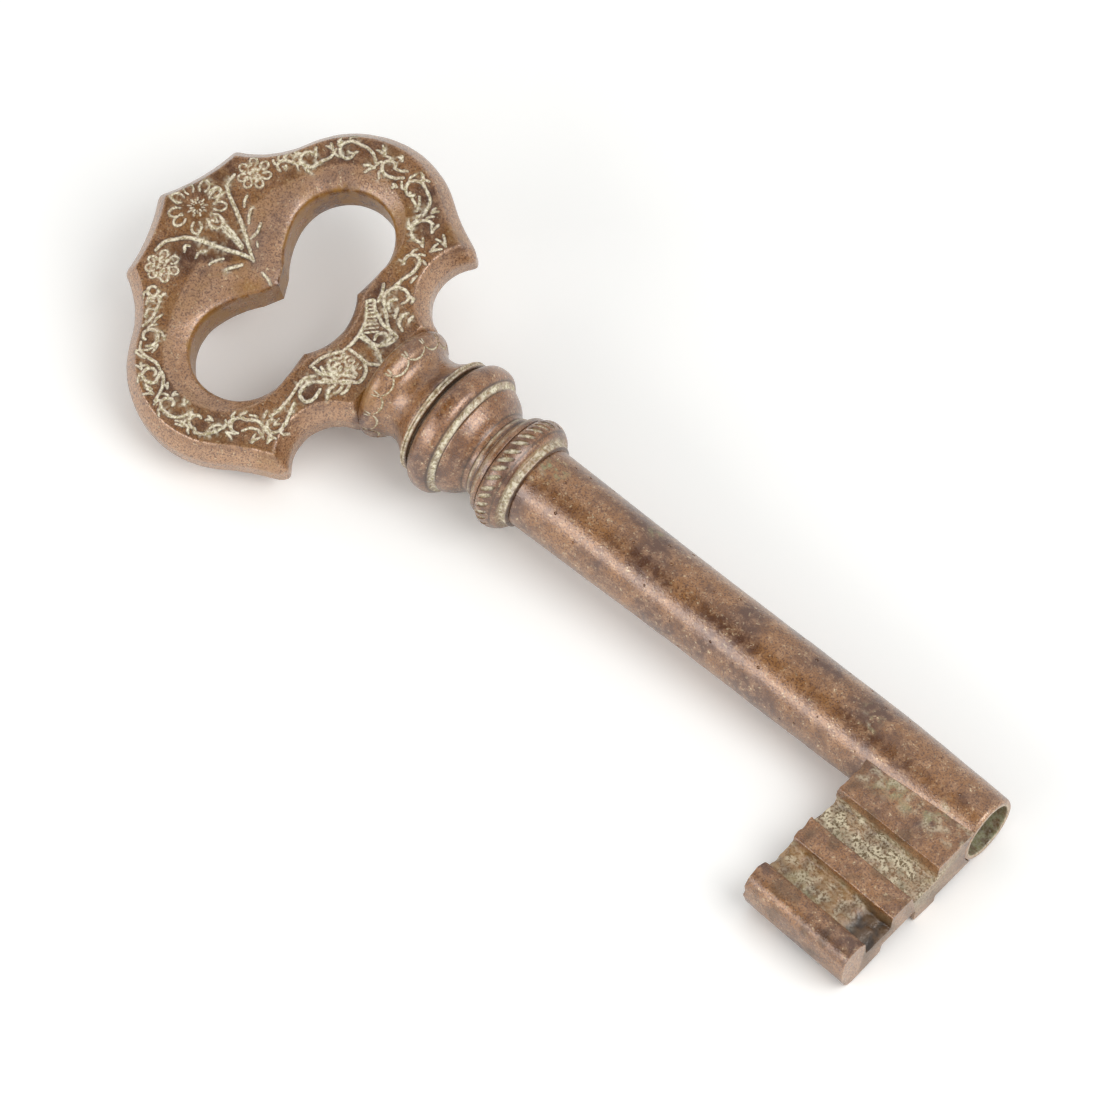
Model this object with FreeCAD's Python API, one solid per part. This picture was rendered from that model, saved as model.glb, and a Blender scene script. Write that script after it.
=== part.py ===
import FreeCAD
import Part
import math
import os

from FreeCAD import Vector

# A cast bronze pipe key: a bevelled kidney bow on a bell neck, four turned collars, a hollow barrel
# and a grooved bit. Millimetres.
#
# The key is drawn with its axis along X, the mouth of its bore at the origin, the bow at minus X, the
# engraved face towards plus Z and the bit towards minus Y. At the end it is laid down as it rests on
# a table, so that plus Z is up.

# Barrel: a hollow tube that tapers a little from its root and again to its mouth, with a blind bore
barrel_length = 80.5
barrel_root_radius = 6.15
barrel_waist_radius = 5.75
barrel_mouth_radius = 5.0
waist_start = 55.0
waist_end = 18.0
bore_radius = 4.0
bore_depth = 52.0
drill_point_angle = 118.0
mouth_edge_break = 0.35

# Roped ring, next to the barrel
rope_ring_width = 6.2
rope_ring_radius = 8.55
rope_ring_front_radius = 7.6
rope_ring_back_radius = 7.1
rope_step_width = 1.2
rope_step_radius = 6.7
rope_nick_count = 34
rope_nick_width = 0.8
rope_nick_depth = 0.6
rope_nick_length = 3.4
rope_nick_slant = 36.0
rope_nick_offset = 0.35

# Thin disc between the roped ring and the bulb
lower_disc_width = 1.4
lower_disc_radius = 6.5
lower_disc_back_radius = 6.3
disc_edge_break = 0.3

# Bulb: a full round, an incised line and a cone
bulb_width = 8.9
bulb_radius = 10.1
bulb_back_radius = 9.05
bulb_undercut_width = 0.5
bulb_undercut_radius = 8.0
bulb_round_width = 3.9
bulb_crown_share = 0.513
bulb_line_width = 0.8
bulb_line_depth = 0.85
bulb_shoulder_radius = 9.15
bulb_cone_radius = 8.4
bulb_small_radius = 6.25
bulb_neck_width = 0.8

# Thin disc between the bulb and the neck
upper_disc_width = 1.3
upper_disc_radius = 8.95
upper_disc_back_radius = 8.2

# Tenon: the plain stem that the collars are threaded on
tenon_radius = 3.0
tenon_into_neck = 4.6
tenon_into_barrel = 10.0

# Neck: the bell under the bow
neck_length = 9.5
neck_foot_radius = 8.2
neck_throat_radius = 6.63
neck_throat_offset = 3.1
neck_shoulder_radius = 8.6
neck_shoulder_offset = 7.2
neck_bend_offset = 6.2
neck_bend_radius = 8.3
neck_flank_offset = 5.1
neck_flank_radius = 7.35
neck_cap_radius = 3.2
neck_cap_corner_radius = 7.75
neck_cap_corner_offset = 8.75

# Bow: outline, seen from the engraved face; places along the axis are counted from the lobes' middle
lobes_from_neck_foot = 27.5
bow_width = 54.6
crown_height = 25.1
crown_dip = 0.8
side_peak_height = 21.0
side_peak_half_span = 11.7
notch_bottom_height = 16.9
notch_bottom_half_span = 14.3
notch_end_height = 13.8
notch_end_half_span = 18.4
shoulder_top_reach = 0.5
shoulder_end_reach = 7.6
shoulder_end_half_span = 25.3
spur_sag_reach = 12.5
spur_sag_half_span = 22.4
spur_reach = 17.8
spur_half_span = 20.4
spur_trim_reach = -5.2
spur_trim_radius = 29.7
cove_radius = 5.5
cove_reach = 20.2
cove_half_span = 14.1
plate_into_neck = 1.9

# Bow: section
bow_thickness = 8.0
outer_wall_height = 3.0
outer_bevel_inset = 1.7
inner_wall_height = 5.6

# Bow: the opening, two round lobes with a notch from the crown and a shallow cove at the neck
lobe_radius = 7.5
opening_width = 35.9
lobe_reach = 0.4
lobe_corner_angle = -11.0
lobe_side_angle = -8.0
notch_tip_height = 2.3
notch_tip_half_width = 0.9
notch_tip_setback = 0.45
notch_flank_height = 3.7
notch_flank_half_span = 2.7
notch_flank_sag = 0.5
opening_cusp_reach = 7.5
opening_cusp_half_span = 5.6
opening_cove_reach = 9.6

# Bow: the inner edge of the flat band
band_from_opening = 2.95
band_lobe_radius = 9.2
band_corner_angle = 20.0
band_lobe_reach = -0.7
band_point_height = 7.0
band_point_half_width = 0.4
band_point_setback = 0.4
band_flank_height = 12.5
band_flank_half_span = 5.0
band_flank_sag = 0.5
band_cusp_reach = 8.9
band_cusp_half_span = 5.9
band_cove_reach = 10.9

# Bit: its section in shares of its reach from the axis, and in height from its own middle plane
bit_length = 18.0
bit_reach = 30.2
bit_back_reach_share = 0.97
bit_turn = 13.0
bit_root_reach = 2.5
bit_land_share = 0.348
bit_land_height = 3.8
first_groove_height = 0.9
first_groove_end_share = 0.529
ridge_height = 2.8
ridge_end_share = 0.662
second_groove_height = 1.1
second_groove_end_share = 0.853
groove_wall_slope = 0.35
bead_height = 4.1
bead_back_height = 3.7
bead_corner_height = 3.3
bead_middle_share = 0.928
back_land_height = 3.4
back_groove_start_share = 0.498
back_groove_end_share = 0.727
back_groove_height = 1.8
foot_height = 4.7
foot_inner_share = 0.362

# One overrun for every cut that has to pass a face
overrun = 1.0

# Straight runs that stand for each round of a turned profile
round_run_count = 3

# Places along the axis, worked out from the widths above
barrel_root_x = -barrel_length
rope_back_x = barrel_root_x - rope_ring_width
rope_crown_x = (rope_back_x + barrel_root_x - rope_step_width) / 2
lower_disc_x = rope_back_x - lower_disc_width
bulb_back_x = lower_disc_x - bulb_width
upper_disc_x = bulb_back_x - upper_disc_width
neck_cap_x = upper_disc_x - neck_length
bulb_crown_x = bulb_back_x + bulb_undercut_width + bulb_round_width * bulb_crown_share
lobes_middle_x = upper_disc_x - lobes_from_neck_foot


def on_axis(along, radius):
    """A point of a turned profile: its place along the axis and its radius."""
    return Vector(along, radius, 0)


def line(start, end):
    """A straight edge."""
    return Part.LineSegment(start, end).toShape()


def arc(start, middle, end):
    """A round edge through three points."""
    return Part.Arc(start, middle, end).toShape()


def turned(edges):
    """Turn a closed profile about the key's axis."""
    face = Part.Face(Part.Wire(edges))
    return face.revolve(Vector(0, 0, 0), Vector(1, 0, 0), 360)


def turned_through(points):
    """Turn a closed profile of straight runs through these points."""
    return turned([line(start, end) for start, end in zip(points, points[1:] + points[:1])])


def rounded_by_runs(start, middle, end):
    """The points of a round through three points, a few straight runs apart."""
    return arc(start, middle, end).discretize(Number=round_run_count + 1)


def along_axis(radius, start_x, end_x):
    """A plain round bar on the key's axis."""
    return Part.makeCylinder(radius, end_x - start_x, Vector(start_x, 0, 0), Vector(1, 0, 0))


def make_tenon():
    """The stem inside: from the neck through the collars into the barrel's solid end."""
    return along_axis(tenon_radius, upper_disc_x - tenon_into_neck, barrel_root_x + tenon_into_barrel)


def make_barrel_blank():
    """The barrel's outside, solid: two long tapers, a parallel waist and a broken edge at the mouth."""
    return turned_through([
        on_axis(barrel_root_x, 0),
        on_axis(barrel_root_x, barrel_root_radius),
        on_axis(-waist_start, barrel_waist_radius),
        on_axis(-waist_end, barrel_waist_radius),
        on_axis(-mouth_edge_break, barrel_mouth_radius),
        on_axis(0, barrel_mouth_radius - mouth_edge_break),
        on_axis(0, 0),
    ])


def make_bore():
    """The drilled bore: a straight hole from the mouth, with a drill point at its end."""
    point_length = bore_radius / math.tan(math.radians(drill_point_angle / 2))
    return turned_through([
        on_axis(-bore_depth - point_length, 0),
        on_axis(-bore_depth, bore_radius),
        on_axis(overrun, bore_radius),
        on_axis(overrun, 0),
    ])


def make_barrel(blank, tenon):
    """The barrel, drilled from its mouth and again for the tenon."""
    return blank.cut(make_bore()).cut(tenon)


def make_rope_nick():
    """One slanting V nick across the crown of the roped ring, before it is turned into place."""
    half_width = rope_nick_width / 2
    corners = [
        Vector(0, 0, rope_ring_radius - rope_nick_depth),
        Vector(0, half_width, rope_ring_radius),
        Vector(0, half_width, rope_ring_radius + overrun),
        Vector(0, -half_width, rope_ring_radius + overrun),
        Vector(0, -half_width, rope_ring_radius),
    ]
    section = Part.Face(Part.makePolygon(corners + corners[:1]))
    nick = section.extrude(Vector(rope_nick_length, 0, 0))
    nick.translate(Vector(-rope_nick_length / 2, 0, 0))
    nick.rotate(Vector(0, 0, 0), Vector(0, 0, 1), rope_nick_slant)
    nick.translate(Vector(rope_crown_x + rope_nick_offset, 0, 0))
    return nick


def make_rope_ring(tenon):
    """The roped ring: a round bead with slanting nicks, and a small step down to the barrel."""
    step_x = barrel_root_x - rope_step_width
    bead = rounded_by_runs(
        on_axis(rope_back_x, rope_ring_back_radius),
        on_axis(rope_crown_x, rope_ring_radius),
        on_axis(step_x, rope_ring_front_radius),
    )
    step = [
        on_axis(step_x, rope_step_radius),
        on_axis(barrel_root_x, rope_step_radius),
        on_axis(barrel_root_x, 0),
    ]
    ring = turned_through([on_axis(rope_back_x, 0)] + bead + step)
    nicks = []
    for index in range(rope_nick_count):
        nick = make_rope_nick()
        nick.rotate(Vector(0, 0, 0), Vector(1, 0, 0), 360 * index / rope_nick_count)
        nicks.append(nick)
    return ring.cut(Part.makeCompound(nicks)).cut(tenon)


def make_disc(start_x, end_x, back_radius, radius, tenon):
    """A thin disc with broken edges, a little smaller at its back, threaded on the tenon."""
    return turned_through([
        on_axis(start_x, 0),
        on_axis(start_x, back_radius),
        on_axis(start_x + disc_edge_break, radius),
        on_axis(end_x - disc_edge_break, radius),
        on_axis(end_x, radius - disc_edge_break),
        on_axis(end_x, 0),
    ]).cut(tenon)


def make_bulb(tenon):
    """The bulb: an undercut, a full round, an incised line and a cone down to the lower disc."""
    round_start_x = bulb_back_x + bulb_undercut_width
    line_x = round_start_x + bulb_round_width
    cone_x = line_x + bulb_line_width
    cone_end_x = lower_disc_x - bulb_neck_width
    undercut = [
        on_axis(bulb_back_x, 0),
        on_axis(bulb_back_x, bulb_undercut_radius),
        on_axis(round_start_x, bulb_undercut_radius),
    ]
    full_round = rounded_by_runs(
        on_axis(round_start_x, bulb_back_radius),
        on_axis(bulb_crown_x, bulb_radius),
        on_axis(line_x, bulb_shoulder_radius),
    )
    cone = [
        on_axis(line_x + bulb_line_width / 2, bulb_shoulder_radius - bulb_line_depth),
        on_axis(cone_x, bulb_cone_radius),
        on_axis(cone_end_x, bulb_small_radius),
        on_axis(lower_disc_x, bulb_small_radius),
        on_axis(lower_disc_x, 0),
    ]
    return turned_through(undercut + full_round + cone).cut(tenon)


def make_neck():
    """The bell under the bow: a rounded cap in the bow, a shoulder, a throat and a flared foot."""
    foot_x = upper_disc_x
    cap_corner = on_axis(foot_x - neck_cap_corner_offset, neck_cap_corner_radius)
    shoulder = rounded_by_runs(
        on_axis(foot_x - neck_shoulder_offset, neck_shoulder_radius),
        on_axis(foot_x - neck_bend_offset, neck_bend_radius),
        on_axis(foot_x - neck_flank_offset, neck_flank_radius),
    )
    throat = rounded_by_runs(
        on_axis(foot_x - neck_flank_offset, neck_flank_radius),
        on_axis(foot_x - neck_throat_offset, neck_throat_radius),
        on_axis(foot_x, neck_foot_radius),
    )
    cap = [on_axis(neck_cap_x, 0), on_axis(neck_cap_x, neck_cap_radius), cap_corner]
    return turned_through(cap + shoulder + throat[1:] + [on_axis(foot_x, 0)])


def bow_point(reach, half_span):
    """A point of the bow's right half: its reach from the lobes' middle towards the tip, and its span."""
    return Vector(lobes_middle_x + reach, half_span, 0)


def both_sides(right_half):
    """A closed wire from the edges of the right half, in order, and their mirror image."""
    left_half = [edge.mirror(Vector(0, 0, 0), Vector(0, 1, 0)) for edge in reversed(right_half)]
    return Part.Wire(right_half + left_half)


def make_outline():
    """The bow's outline, from the crown's peak round a shoulder and its spur to the neck, both sides."""
    crown = bow_point(-crown_height, 0)
    dip_height = (crown_height + side_peak_height) / 2 - crown_dip
    dip = bow_point(-dip_height, side_peak_half_span / 2)
    side_peak = bow_point(-side_peak_height, side_peak_half_span)
    notch_bottom = bow_point(-notch_bottom_height, notch_bottom_half_span)
    notch_end = bow_point(-notch_end_height, notch_end_half_span)
    shoulder_top = bow_point(shoulder_top_reach, bow_width / 2)
    shoulder_end = bow_point(shoulder_end_reach, shoulder_end_half_span)
    spur_sag = bow_point(spur_sag_reach, spur_sag_half_span)
    spur = bow_point(spur_reach, spur_half_span)
    cove_side = bow_point(cove_reach - cove_radius, cove_half_span)
    plate_end_reach = neck_cap_x + plate_into_neck - lobes_middle_x
    plate_rise = math.sqrt(cove_radius**2 - (cove_reach - plate_end_reach) ** 2)
    plate_corner = bow_point(plate_end_reach, cove_half_span - plate_rise)
    return both_sides([
        arc(crown, dip, side_peak),
        arc(side_peak, notch_bottom, notch_end),
        arc(notch_end, shoulder_top, shoulder_end),
        arc(shoulder_end, spur_sag, spur),
        arc(spur, cove_side, plate_corner),
        line(plate_corner, bow_point(plate_end_reach, 0)),
    ])


def make_two_lobes(tip, tip_corner, flank_end, flank_sag, lobe, cusp, cove):
    """Two round lobes with a notch between them on the crown's side and a shallow cove opposite."""
    middle, radius, corner_angle = lobe

    def on_lobe(angle):
        turn = math.radians(angle)
        return middle + Vector(math.cos(turn), math.sin(turn), 0) * radius

    lobe_corner = on_lobe(180 - corner_angle)
    flank_middle = (flank_end + lobe_corner) * 0.5 - Vector(flank_sag, 0, 0)
    lobe_side = on_lobe(lobe_side_angle)
    cove_middle = Vector(cusp.x + (cove.x - cusp.x) * 3 / 4, cusp.y / 2, 0)
    return both_sides([
        line(tip, tip_corner),
        line(tip_corner, flank_end),
        arc(flank_end, flank_middle, lobe_corner),
        arc(lobe_corner, on_lobe(90), lobe_side),
        line(lobe_side, cusp),
        arc(cusp, cove_middle, cove),
    ])


def make_opening_edge():
    """The edge of the opening."""
    return make_two_lobes(
        tip=bow_point(-notch_tip_height, 0),
        tip_corner=bow_point(-notch_tip_height - notch_tip_setback, notch_tip_half_width),
        flank_end=bow_point(-notch_flank_height, notch_flank_half_span),
        flank_sag=notch_flank_sag,
        lobe=(bow_point(lobe_reach, opening_width / 2 - lobe_radius), lobe_radius, lobe_corner_angle),
        cusp=bow_point(opening_cusp_reach, opening_cusp_half_span),
        cove=bow_point(opening_cove_reach, 0),
    )


def make_band_edge():
    """The inner edge of the flat band, corner for corner like the edge of the opening."""
    band_half_width = opening_width / 2 + band_from_opening
    band_lobe_middle = bow_point(band_lobe_reach, band_half_width - band_lobe_radius)
    return make_two_lobes(
        tip=bow_point(-band_point_height, 0),
        tip_corner=bow_point(-band_point_height - band_point_setback, band_point_half_width),
        flank_end=bow_point(-band_flank_height, band_flank_half_span),
        flank_sag=band_flank_sag,
        lobe=(band_lobe_middle, band_lobe_radius, band_corner_angle),
        cusp=bow_point(band_cusp_reach, band_cusp_half_span),
        cove=bow_point(band_cove_reach, 0),
    )


def at_height(wire, height):
    """A copy of a flat wire at another height."""
    return wire.translated(Vector(0, 0, height))


def between(low_wire, high_wire):
    """A solid with straight sides between two wires that have the same number of edges."""
    return Part.makeLoft([low_wire, high_wire], True, True)


def on_both_faces(front):
    """A solid on the engraved face and its mirror image on the back."""
    return [front, front.mirror(Vector(0, 0, 0), Vector(0, 0, 1))]


def make_bow_plate():
    """The kidney ring: an outer wall, bevels up to a flat band, bevels down to the opening, blunt spurs."""
    wall_top = outer_wall_height / 2
    band_top = bow_thickness / 2
    opening_top = inner_wall_height / 2
    outline = make_outline()
    crest = outline.makeOffset2D(-outer_bevel_inset, 2, False, False, False)
    wall = Part.Face(at_height(outline, -wall_top)).extrude(Vector(0, 0, outer_wall_height))
    front_bevel = between(at_height(outline, wall_top), at_height(crest, band_top))
    plate = wall.multiFuse(on_both_faces(front_bevel)).removeSplitter()
    trim = Part.makeCylinder(spur_trim_radius, bow_thickness, bow_point(spur_trim_reach, 0))
    trim.translate(Vector(0, 0, -bow_thickness / 2))
    opening = make_opening_edge()
    band_edge = make_band_edge()
    hole = Part.Face(at_height(opening, -band_top)).extrude(Vector(0, 0, bow_thickness))
    inner_bevel = between(at_height(opening, opening_top), at_height(band_edge, band_top))
    return plate.common(trim).cut(hole).cut(on_both_faces(inner_bevel))


def make_bow(tenon):
    """The bow and its neck, cast in one, with the blind hole for the tenon."""
    return make_bow_plate().fuse(make_neck()).cut(tenon)


def bit_section(along, reach):
    """The bit's section as a closed wire: land, groove, ridge, groove and bead; foot and groove behind."""
    def at(share, height, step=0):
        return Vector(along, -reach * share - step, height)

    slope = groove_wall_slope
    root_share = bit_root_reach / reach
    corners = [
        at(root_share, bit_land_height),
        at(bit_land_share, bit_land_height),
        at(bit_land_share, first_groove_height, slope),
        at(first_groove_end_share, first_groove_height, -slope),
        at(first_groove_end_share, ridge_height),
        at(ridge_end_share, ridge_height),
        at(ridge_end_share, second_groove_height, slope),
        at(second_groove_end_share, second_groove_height, -slope),
        at(second_groove_end_share, bead_corner_height),
    ]
    bead_top = at(bead_middle_share, bead_height)
    bead_front = at(1, bead_corner_height, -slope)
    bead_end = at(1, 0)
    bead_rear = at(1, -bead_back_height / 2, -slope)
    bead_turn = at((1 + bead_middle_share) / 2, -bead_back_height + slope)
    bead_back = at(bead_middle_share, -bead_back_height, -slope)
    back_corners = [
        bead_back,
        at(back_groove_end_share, -back_land_height, slope),
        at(back_groove_end_share, -back_groove_height),
        at(back_groove_start_share, -back_groove_height),
        at(back_groove_start_share, -foot_height + slope, -slope),
        at(foot_inner_share, -foot_height),
        at(foot_inner_share, -back_land_height, -slope),
        at(root_share, -back_land_height),
    ]
    edges = [line(start, end) for start, end in zip(corners[:-1], corners[1:])]
    edges.append(arc(corners[-1], bead_top, bead_front))
    edges.append(arc(bead_front, bead_end, bead_rear))
    edges.append(arc(bead_rear, bead_turn, bead_back))
    edges += [line(start, end) for start, end in zip(back_corners[:-1], back_corners[1:])]
    edges.append(line(back_corners[-1], corners[0]))
    return Part.Wire(edges)


def make_bit(barrel_blank):
    """The bit, a little longer at the mouth than at its back end, seated on the barrel's side."""
    back_section = bit_section(-bit_length, bit_reach * bit_back_reach_share)
    bit = Part.makeLoft([back_section, bit_section(0, bit_reach)], True, True)
    bit.rotate(Vector(0, 0, 0), Vector(1, 0, 0), -bit_turn)
    return bit.cut(barrel_blank)


def lie_on_table(shape):
    """Lay a piece down with the key at rest: on its bulb, its mouth and the end of its bit."""
    pitch = math.degrees(math.atan2(bulb_radius - barrel_mouth_radius, -bulb_crown_x))
    bead_reach = bit_reach * bead_middle_share
    end_distance = math.hypot(bead_reach, bead_back_height)
    end_angle = math.atan2(bead_back_height, bead_reach)
    bit_lean = math.asin(barrel_mouth_radius / end_distance) - end_angle
    laid = shape.copy()
    laid.rotate(Vector(0, 0, 0), Vector(1, 0, 0), bit_turn + math.degrees(bit_lean))
    laid.rotate(Vector(0, 0, 0), Vector(0, 1, 0), pitch)
    return laid


def main():
    os.makedirs("parts", exist_ok=True)
    tenon = make_tenon()
    barrel_blank = make_barrel_blank()
    pieces = {
        "bow": make_bow(tenon),
        "upper_disc": make_disc(
            upper_disc_x, bulb_back_x, upper_disc_back_radius, upper_disc_radius, tenon
        ),
        "bulb_collar": make_bulb(tenon),
        "lower_disc": make_disc(
            lower_disc_x, rope_back_x, lower_disc_back_radius, lower_disc_radius, tenon
        ),
        "rope_ring": make_rope_ring(tenon),
        "tenon": tenon,
        "barrel": make_barrel(barrel_blank, tenon),
        "bit": make_bit(barrel_blank),
    }
    for name, shape in pieces.items():
        laid = lie_on_table(shape)
        laid.exportStep(f"parts/{name}.step")
        print(name, len(laid.Solids), "solid,", round(laid.Volume, 1), "cubic mm, valid", laid.isValid())


main()
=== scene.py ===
"""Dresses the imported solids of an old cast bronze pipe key, lying on a pale floor, for Blender 4.5.

Every size below is in millimetres in the key's own frame: the axis along X with the bore's mouth at the
origin, the bow towards minus X, the engraved face up and the bit towards minus Y. RestPose lays the
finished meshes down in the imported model's frame, in metres.
"""

import logging
import math
from dataclasses import dataclass, field
from enum import Enum

import bmesh
import bpy
import numpy as np
from mathutils import Matrix, Vector, noise
from mathutils.geometry import delaunay_2d_cdt
from mathutils.kdtree import KDTree


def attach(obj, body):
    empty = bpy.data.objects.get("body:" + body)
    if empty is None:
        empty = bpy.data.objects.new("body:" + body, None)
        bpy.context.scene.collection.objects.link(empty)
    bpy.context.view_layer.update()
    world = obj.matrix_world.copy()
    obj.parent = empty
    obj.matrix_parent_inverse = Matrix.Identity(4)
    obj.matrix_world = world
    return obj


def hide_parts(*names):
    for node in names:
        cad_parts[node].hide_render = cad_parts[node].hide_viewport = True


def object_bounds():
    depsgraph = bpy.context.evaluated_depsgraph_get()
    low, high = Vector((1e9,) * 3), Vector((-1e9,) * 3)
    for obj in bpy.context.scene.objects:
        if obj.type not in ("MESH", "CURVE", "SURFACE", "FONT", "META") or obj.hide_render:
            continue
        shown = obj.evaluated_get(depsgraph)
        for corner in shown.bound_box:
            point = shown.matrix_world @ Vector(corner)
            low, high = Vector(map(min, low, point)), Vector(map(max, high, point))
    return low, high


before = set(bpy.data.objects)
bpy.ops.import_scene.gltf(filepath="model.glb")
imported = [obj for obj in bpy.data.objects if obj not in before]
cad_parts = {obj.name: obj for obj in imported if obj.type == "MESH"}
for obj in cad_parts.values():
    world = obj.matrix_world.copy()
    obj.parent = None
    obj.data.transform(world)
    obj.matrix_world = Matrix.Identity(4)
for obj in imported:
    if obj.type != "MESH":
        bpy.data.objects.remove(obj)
cad_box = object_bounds()

logging.basicConfig(level=logging.INFO, format="%(message)s")
log = logging.getLogger("key")

MM = 0.001
ROOT = "root"

# Short names for the types that most signatures use.
Point = tuple[float, float]
Spot = tuple[float, float, float]
Mesh = bpy.types.Mesh
Material = bpy.types.Material
Node = bpy.types.Node
Tree = bpy.types.NodeTree
Socket = bpy.types.NodeSocket
Rows = np.ndarray


# Small tools


def linear(hex_colour: str) -> tuple[float, float, float, float]:
    """Turn an sRGB hex colour into the linear colour that a shader takes.

    Args:
        hex_colour: the colour as "#rrggbb".

    Returns:
        Red, green, blue and an alpha of one.
    """
    shares = [int(hex_colour[place : place + 2], 16) / 255 for place in (1, 3, 5)]
    red, green, blue = (s / 12.92 if s <= 0.04045 else ((s + 0.055) / 1.055) ** 2.4 for s in shares)
    return red, green, blue, 1.0


def add_node(tree: Tree, kind: str, inputs: dict | None = None, **settings: object) -> Node:
    """Add a node, set its options and fill or link its inputs.

    Args:
        tree: the node tree that gets the node.
        kind: Blender's name for the node type.
        inputs: socket name or number, to a value or to another node's output socket.
        settings: the node's own options.

    Returns:
        The new node.
    """
    node = tree.nodes.new(kind)
    for option, value in settings.items():
        setattr(node, option, value)
    for socket, value in (inputs or {}).items():
        if isinstance(value, Socket):
            tree.links.new(value, node.inputs[socket])
        else:
            node.inputs[socket].default_value = value
    return node


def maths(tree: Tree, operation: str, *values: object) -> Socket:
    """Add a sum or another operation on numbers to a tree."""
    return add_node(tree, "ShaderNodeMath", dict(enumerate(values)), operation=operation).outputs[0]


def mesh_from(name: str, points: Rows, faces: list) -> Mesh:
    """Make a mesh from points and faces.

    Args:
        name: its name.
        points: rows of x, y and z.
        faces: each face's point numbers.

    Returns:
        The mesh.
    """
    mesh = bpy.data.meshes.new(name)
    mesh.from_pydata([tuple(p) for p in np.asarray(points, float)], [], [tuple(f) for f in faces])
    mesh.update()
    return mesh


def points_of(mesh: Mesh) -> Rows:
    """Read a mesh's vertices as rows of x, y and z.

    Args:
        mesh: the mesh.

    Returns:
        One row for each vertex.
    """
    flat = np.zeros(len(mesh.vertices) * 3)
    mesh.vertices.foreach_get("co", flat)
    return flat.reshape(-1, 3)


def normals_of(mesh: Mesh) -> Rows:
    """Read a mesh's vertex normals as rows of x, y and z.

    Args:
        mesh: the mesh.

    Returns:
        One row for each vertex.
    """
    flat = np.zeros(len(mesh.vertices) * 3)
    mesh.vertex_normals.foreach_get("vector", flat)
    return flat.reshape(-1, 3)


def move_points(mesh: Mesh, points: Rows) -> None:
    """Write new places for a mesh's vertices."""
    mesh.vertices.foreach_set("co", np.asarray(points, float).ravel())
    mesh.update()


def outwards(mesh: Mesh) -> Mesh:
    """Turn a closed mesh's faces outwards.

    Args:
        mesh: the closed mesh.

    Returns:
        The same mesh.
    """
    work = bmesh.new()
    work.from_mesh(mesh)
    bmesh.ops.recalc_face_normals(work, faces=work.faces)
    work.to_mesh(mesh)
    work.free()
    return mesh


def evaluated(holder: bpy.types.Object) -> Mesh:
    """Take the mesh that an object's modifiers make, and remove the object.

    Args:
        holder: the object.

    Returns:
        The plain mesh.
    """
    graph = bpy.context.evaluated_depsgraph_get()
    mesh = bpy.data.meshes.new_from_object(holder.evaluated_get(graph), depsgraph=graph)
    bpy.data.objects.remove(holder)
    return mesh


def held(mesh: Mesh) -> bpy.types.Object:
    """Put a mesh on a passing object in the scene.

    Args:
        mesh: the mesh.

    Returns:
        The object.
    """
    holder = bpy.data.objects.new("passing", mesh)
    bpy.context.scene.collection.objects.link(holder)
    return holder


class Cut(Enum):
    """What a boolean does with its second shape."""

    TAKE_AWAY = "DIFFERENCE"
    JOIN = "UNION"


def combined(body: Mesh, tool: Mesh, cut: Cut) -> Mesh:
    """Join two closed meshes or take one from the other.

    Args:
        body: the mesh that is worked on.
        tool: the mesh that is joined or taken away.
        cut: which of the two.

    Returns:
        The closed result.
    """
    tool_holder = held(tool)
    body_holder = held(body)
    modifier = body_holder.modifiers.new("cut", "BOOLEAN")
    modifier.solver = "MANIFOLD"
    modifier.operation = cut.value
    modifier.object = tool_holder
    result = evaluated(body_holder)
    bpy.data.objects.remove(tool_holder)
    return result


def smooth_step(low: float, high: float, values: Rows) -> Rows:
    """Rise smoothly from 0 at low to 1 at high."""
    share = np.clip((values - low) / (high - low), 0, 1)
    return share * share * (3 - 2 * share)


def soft_drop(drop: Rows, softness: float) -> Rows:
    """Keep the positive part of a drop, with its corner rounded."""
    return (drop + np.sqrt(drop * drop + softness * softness)) / 2


def cast_noise(points: Rows, size_mm: float, seed: float) -> Rows:
    """Sample a smooth noise of about minus one to one at each point.

    Args:
        points: rows of x, y and z in millimetres.
        size_mm: the size of its lumps.
        seed: a shift that gives each piece its own lumps.

    Returns:
        One value for each point.
    """
    return np.array([noise.noise(Vector(p)) for p in points / size_mm + seed])


def along_curve(points: list[Point], spacing: float) -> Rows:
    """Run a smooth curve through points.

    Args:
        points: the points in order.
        spacing: how far apart the samples are.

    Returns:
        Rows of the samples' x and y.
    """
    given = np.array(points, float)
    if len(given) == 2:
        given = np.array([given[0], given.mean(0), given[1]])
    padded = np.vstack([2 * given[0] - given[1], given, 2 * given[-1] - given[-2]])
    samples = []
    for before, start, end, after in zip(padded, padded[1:], padded[2:], padded[3:]):
        count = max(2, int(np.linalg.norm(end - start) / spacing) + 1)
        t = np.linspace(0, 1, count, endpoint=False)[:, None]
        samples.append(
            0.5
            * (
                2 * start
                + (end - before) * t
                + (2 * before - 5 * start + 4 * end - after) * t**2
                + (3 * start - before - 3 * end + after) * t**3
            )
        )
    return np.vstack(samples + [given[-1:]])


def nearest(tree: KDTree, points: Rows) -> tuple[Rows, Rows]:
    """Find each point's nearest neighbour in a tree.

    Args:
        tree: the balanced tree.
        points: rows of x and y.

    Returns:
        The neighbours' numbers and their distances.
    """
    found = [tree.find((x, y, 0)) for x, y in points]
    return np.array([f[1] for f in found]), np.array([f[2] for f in found])


def tree_of(points: Rows) -> KDTree:
    """Put flat points into a search tree.

    Args:
        points: rows of x and y.

    Returns:
        The balanced tree.
    """
    tree = KDTree(len(points))
    for number, (x, y) in enumerate(points):
        tree.insert((x, y, 0), number)
    tree.balance()
    return tree


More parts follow.
